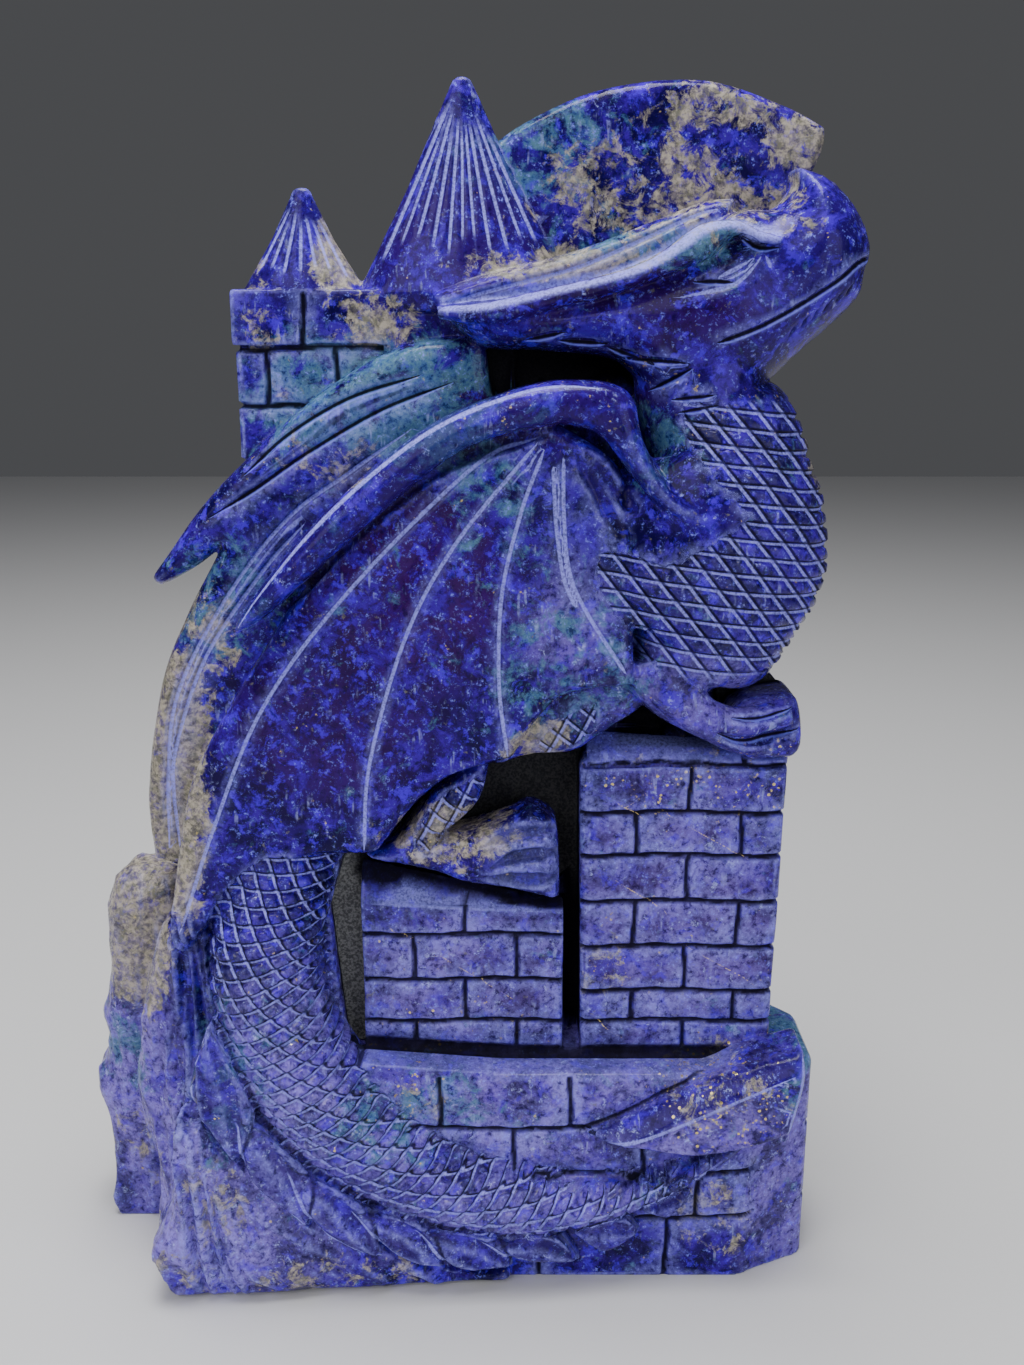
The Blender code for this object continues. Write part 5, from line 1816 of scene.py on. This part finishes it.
@dataclass
class Statue:
    """The whole carving, as one piece in place of the solid."""

    castle: Castle = field(default_factory=Castle)
    rocks: Rocks = field(default_factory=Rocks)
    wings: Wings = field(default_factory=Wings)
    dragon: Dragon = field(default_factory=Dragon)
    tail: Tail = field(default_factory=Tail)
    finish: Finish = field(default_factory=Finish)

    def raw_skin(self) -> Skin:
        """Joins all forms into one stone."""
        makers = (self.castle, self.rocks, self.wings, self.dragon, self.tail)
        skin = Skin.joined([form for maker in makers for form in maker.forms()])
        log.info("forms: %d triangles", len(skin.triangles))
        helper = bpy.data.objects.new("forms", skin.mesh("forms"))
        show(helper)
        voxels = helper.modifiers.new("skin", "REMESH")
        voxels.mode = "VOXEL"
        voxels.voxel_size = VOXEL
        voxels.adaptivity = 0.0
        out = self.evaluated(helper)[0]
        log.info("voxel skin: %d points", len(out.points))
        return out

    @staticmethod
    def evaluated(helper: bpy.types.Object) -> tuple[Skin, Array]:
        """Reads an object's mesh after its modifiers, and removes the object.

        Args:
            helper: The object.

        Returns:
            Its mesh, and the mask of its worn edges, which also carry a painted highlight.
        """
        bpy.context.view_layer.update()
        graph = bpy.context.evaluated_depsgraph_get()
        result = helper.evaluated_get(graph)
        mesh = result.to_mesh()
        skin = Skin.of_mesh(mesh)
        wear_and_highlight = np.zeros(len(skin.points), np.float32)
        if "edge" in mesh.attributes:
            mesh.attributes["edge"].data.foreach_get("value", wear_and_highlight)
        result.to_mesh_clear()
        source = helper.data
        bpy.data.objects.remove(helper)
        bpy.data.meshes.remove(source)
        return skin, wear_and_highlight

    def carve(self, stone: Stone) -> None:
        """Grinds everything into the stone."""
        for maker in (self.castle, self.wings, self.dragon, self.tail):
            maker.carve(stone)

    def carved_skin(self) -> tuple[Skin, Array]:
        """Roughens, carves and thins out the voxel skin, and finds its worn edges, also painted as
        a highlight.
        """
        skin = self.raw_skin()
        edges = skin.edges()
        skin.points = skin.smoothed(skin.points, edges, 2)
        wobble = 0.12 * noise(skin.points, 14, 9) + 0.04 * noise(skin.points, 3.5, 11)
        raised = self.rocks.roughen(skin.points) + wobble * ease(skin.points[:, 2], 0.3, 3)
        skin.points = skin.points + skin.normals() * raised[:, None]
        stone = Stone(skin)
        self.carve(stone)
        depth = skin.smoothed(stone.depth, edges, 1, 0.2)
        skin.points = skin.points - stone.normals * depth[:, None]
        skin.points = np.clip(skin.points, STONE_LOW, STONE_HIGH)
        log.info("carved: %.1f mm deepest", depth.max())
        pull = skin.smoothed(skin.points, edges, 4) - skin.points
        bend = -(pull * skin.normals()).sum(1)
        wear_and_highlight = skin.smoothed(ease(bend, *WORN_AND_HIGHLIGHT_BEND), edges, 1)
        return self.thinned(skin, stone, wear_and_highlight)

    def thinned(self, skin: Skin, stone: Stone, wear_and_highlight: Array) -> tuple[Skin, Array]:
        """Collapses edges where the stone is plain until few enough triangles are left.

        Args:
            skin: The carved skin.
            stone: The stone as it was carved, which tells where its detail is.
            wear_and_highlight: Its worn edges, which are also painted as a highlight.

        Returns:
            The thinner skin, and its edge mask.
        """
        mesh = skin.mesh("carved")
        layer = mesh.attributes.new("edge", "FLOAT", "POINT")
        layer.data.foreach_set("value", wear_and_highlight.astype(np.float32))
        helper = bpy.data.objects.new("carved", mesh)
        show(helper)
        group = helper.vertex_groups.new(name="plain")
        lines = np.minimum.reduce([np.abs(offset) for offset in stone.lines.values()])
        detail = np.maximum.reduce([stone.dark_and_shade, np.minimum(stone.depth * 2.5, 1),
                                    ease(lines, 1.0, 0.3), 0.8 * stone.scales])
        detail *= ease(stone.normals[:, 1], 0.75, 0.3) * 0.7 + 0.3
        for low, high, level in THINNING:
            chosen = (detail >= low) & (detail < high)
            group.add([int(k) for k in np.flatnonzero(chosen)], level, "REPLACE")
        thin = helper.modifiers.new("thin", "DECIMATE")
        thin.ratio = MOST_TRIANGLES / len(skin.triangles)
        thin.vertex_group = "plain"
        thin.vertex_group_factor = THINNING_FACTOR
        out, wear_and_highlight = self.evaluated(helper)
        log.info("thinned: %d triangles", len(out.triangles))
        return out, wear_and_highlight

    def masks(self, skin: Skin) -> dict[str, Array]:
        """Works out where each mineral, the dust, the soot and every line lie.

        Args:
            skin: The carved and thinned skin.

        Returns:
            One value per point for each, by the name that the material reads.
        """
        stone = Stone(skin)
        self.carve(stone)
        masks = {"dust_and_highlight": stone.dust_and_highlight, "dark_and_shade": stone.dark_and_shade, "steep": stone.steep,
                 "flat": stone.flat, "scales": stone.scales, "flute": stone.flute,
                 "flute_gap": stone.flute_gap, "fluted": stone.fluted, "rich": stone.rich}
        for stroke, offset in stone.lines.items():
            masks[stroke.value] = offset
            masks[stroke.value + "_near"] = ease(np.abs(offset), 1.0, 0.6)
        for mineral, patches in PATCHES.items():
            masks[mineral.value] = np.maximum.reduce([patch.share(skin.points)
                                                      for patch in patches])
        masks["rough"] = self.rough_share(skin.points)
        return masks

    @staticmethod
    def rough_share(points: Array) -> Array:
        """Finds the broken stone in the hollows behind the dragon, and the shade painted there.

        Args:
            points: Rows of three coordinates.

        Returns:
            0 outside the hollows, and in them how pale they are, up to 1; lower values paint shade.
        """
        share = np.zeros(len(points))
        for low, high, pale in HOLLOWS:
            box = np.full(len(points), pale)
            for value, a, b in zip(points.T, low, high):
                box *= ease(value, a - 0.5, a + 0.5) * ease(value, b + 0.5, b - 0.5)
            share = np.maximum(share, box)
        return share

    def build(self) -> bpy.types.Object:
        """Makes the dressed piece in the frame."""
        skin, wear_and_highlight = self.carved_skin()
        masks = self.masks(skin) | {"edge": wear_and_highlight}
        skin.points = (skin.points - DRAWING_ORIGIN) * MM
        mesh = skin.mesh("carved_stone")
        for name, values in masks.items():
            layer = mesh.attributes.new(name, "FLOAT", "POINT")
            layer.data.foreach_set("value", values.astype(np.float32))
        mesh.polygons.foreach_set("use_smooth", np.ones(len(mesh.polygons), bool))
        mesh.materials.append(self.finish.material())
        piece = bpy.data.objects.new("carved_stone", mesh)
        show(piece)
        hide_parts(NODE)
        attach(piece, "root")
        return piece


@dataclass
class Studio:
    """The floor, the lights and the camera."""

    floor_size: float = 3.0
    floor_colour: tuple[float, float, float] = (0.62, 0.62, 0.63)
    camera_place: tuple[float, float, float] = (8.0, -217.0, 165.0)
    camera_tilt: float = 14.5
    focal_pixels: float = 1300.0
    image_height: float = 1365.0
    sensor: float = 36.0

    def floor(self) -> None:
        """Lays a plain pale floor."""
        half = self.floor_size / 2
        mesh = bpy.data.meshes.new("floor")
        mesh.from_pydata([(-half, -half, 0), (half, -half, 0), (half, half, 0), (-half, half, 0)],
                         [], [(0, 1, 2, 3)])
        material = bpy.data.materials.new("pale_floor")
        material.use_nodes = True
        shader = material.node_tree.nodes["Principled BSDF"]
        shader.inputs["Base Color"].default_value = (*self.floor_colour, 1)
        shader.inputs["Roughness"].default_value = 0.6
        mesh.materials.append(material)
        floor = bpy.data.objects.new("floor", mesh)
        show(floor)

    def lamp(self, name: str, place: Sequence[float], size: float, watts: float,
             colour: tuple[float, float, float] = (1.0, 1.0, 1.0)) -> None:
        """Hangs a soft square lamp that points at the middle of the statue.

        Args:
            name: The lamp's name.
            place: Where it hangs, in metres.
            size: The length of its sides in metres.
            watts: Its power.
            colour: The colour of its light.
        """
        light = bpy.data.lights.new(name, "AREA")
        light.size = size
        light.energy = watts
        light.color = colour
        lamp = bpy.data.objects.new(name, light)
        lamp.location = place
        aim = Vector((0, 0, 0.1)) - Vector(place)
        lamp.rotation_euler = aim.to_track_quat("-Z", "Y").to_euler()
        show(lamp)

    def lights(self) -> None:
        """Hangs the lamps and sets the soft light all round."""
        self.lamp("key", (-0.5, -0.75, 0.75), 0.9, 7.8, (1.0, 0.99, 0.98))
        self.lamp("fill", (0.6, -0.7, 0.22), 0.8, 4.4, (0.97, 0.98, 1.0))
        self.lamp("top", (-0.02, -0.02, 0.75), 0.36, 7.0)
        world = bpy.data.worlds.new("soft_light")
        world.use_nodes = True
        sky = world.node_tree.nodes["Background"]
        sky.inputs["Color"].default_value = (0.92, 0.94, 1.0, 1.0)
        sky.inputs["Strength"].default_value = 0.08
        bpy.context.scene.world = world

    def camera(self) -> None:
        """Sets the camera where the photograph was taken from."""
        lens = bpy.data.cameras.new("camera")
        lens.sensor_width = self.sensor
        lens.lens = self.focal_pixels * self.sensor / self.image_height
        lens.clip_start = 0.01
        camera = bpy.data.objects.new("camera", lens)
        camera.location = (np.array(self.camera_place) - DRAWING_ORIGIN) * MM
        camera.rotation_euler = (math.radians(90 - self.camera_tilt), 0, 0)
        show(camera)
        bpy.context.scene.camera = camera

    def build(self) -> None:
        """Sets up the whole studio."""
        self.camera()
        self.floor()
        self.lights()


def main() -> None:
    """Builds the scene piece by piece."""
    logging.basicConfig(level=logging.INFO, format="%(message)s", stream=sys.stdout)
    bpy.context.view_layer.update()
    Studio().build()
    log.info("studio ready")
    piece = Statue().build()
    log.info("%s: %d triangles", piece.name, len(piece.data.polygons))


if __name__ == "__main__":
    main()
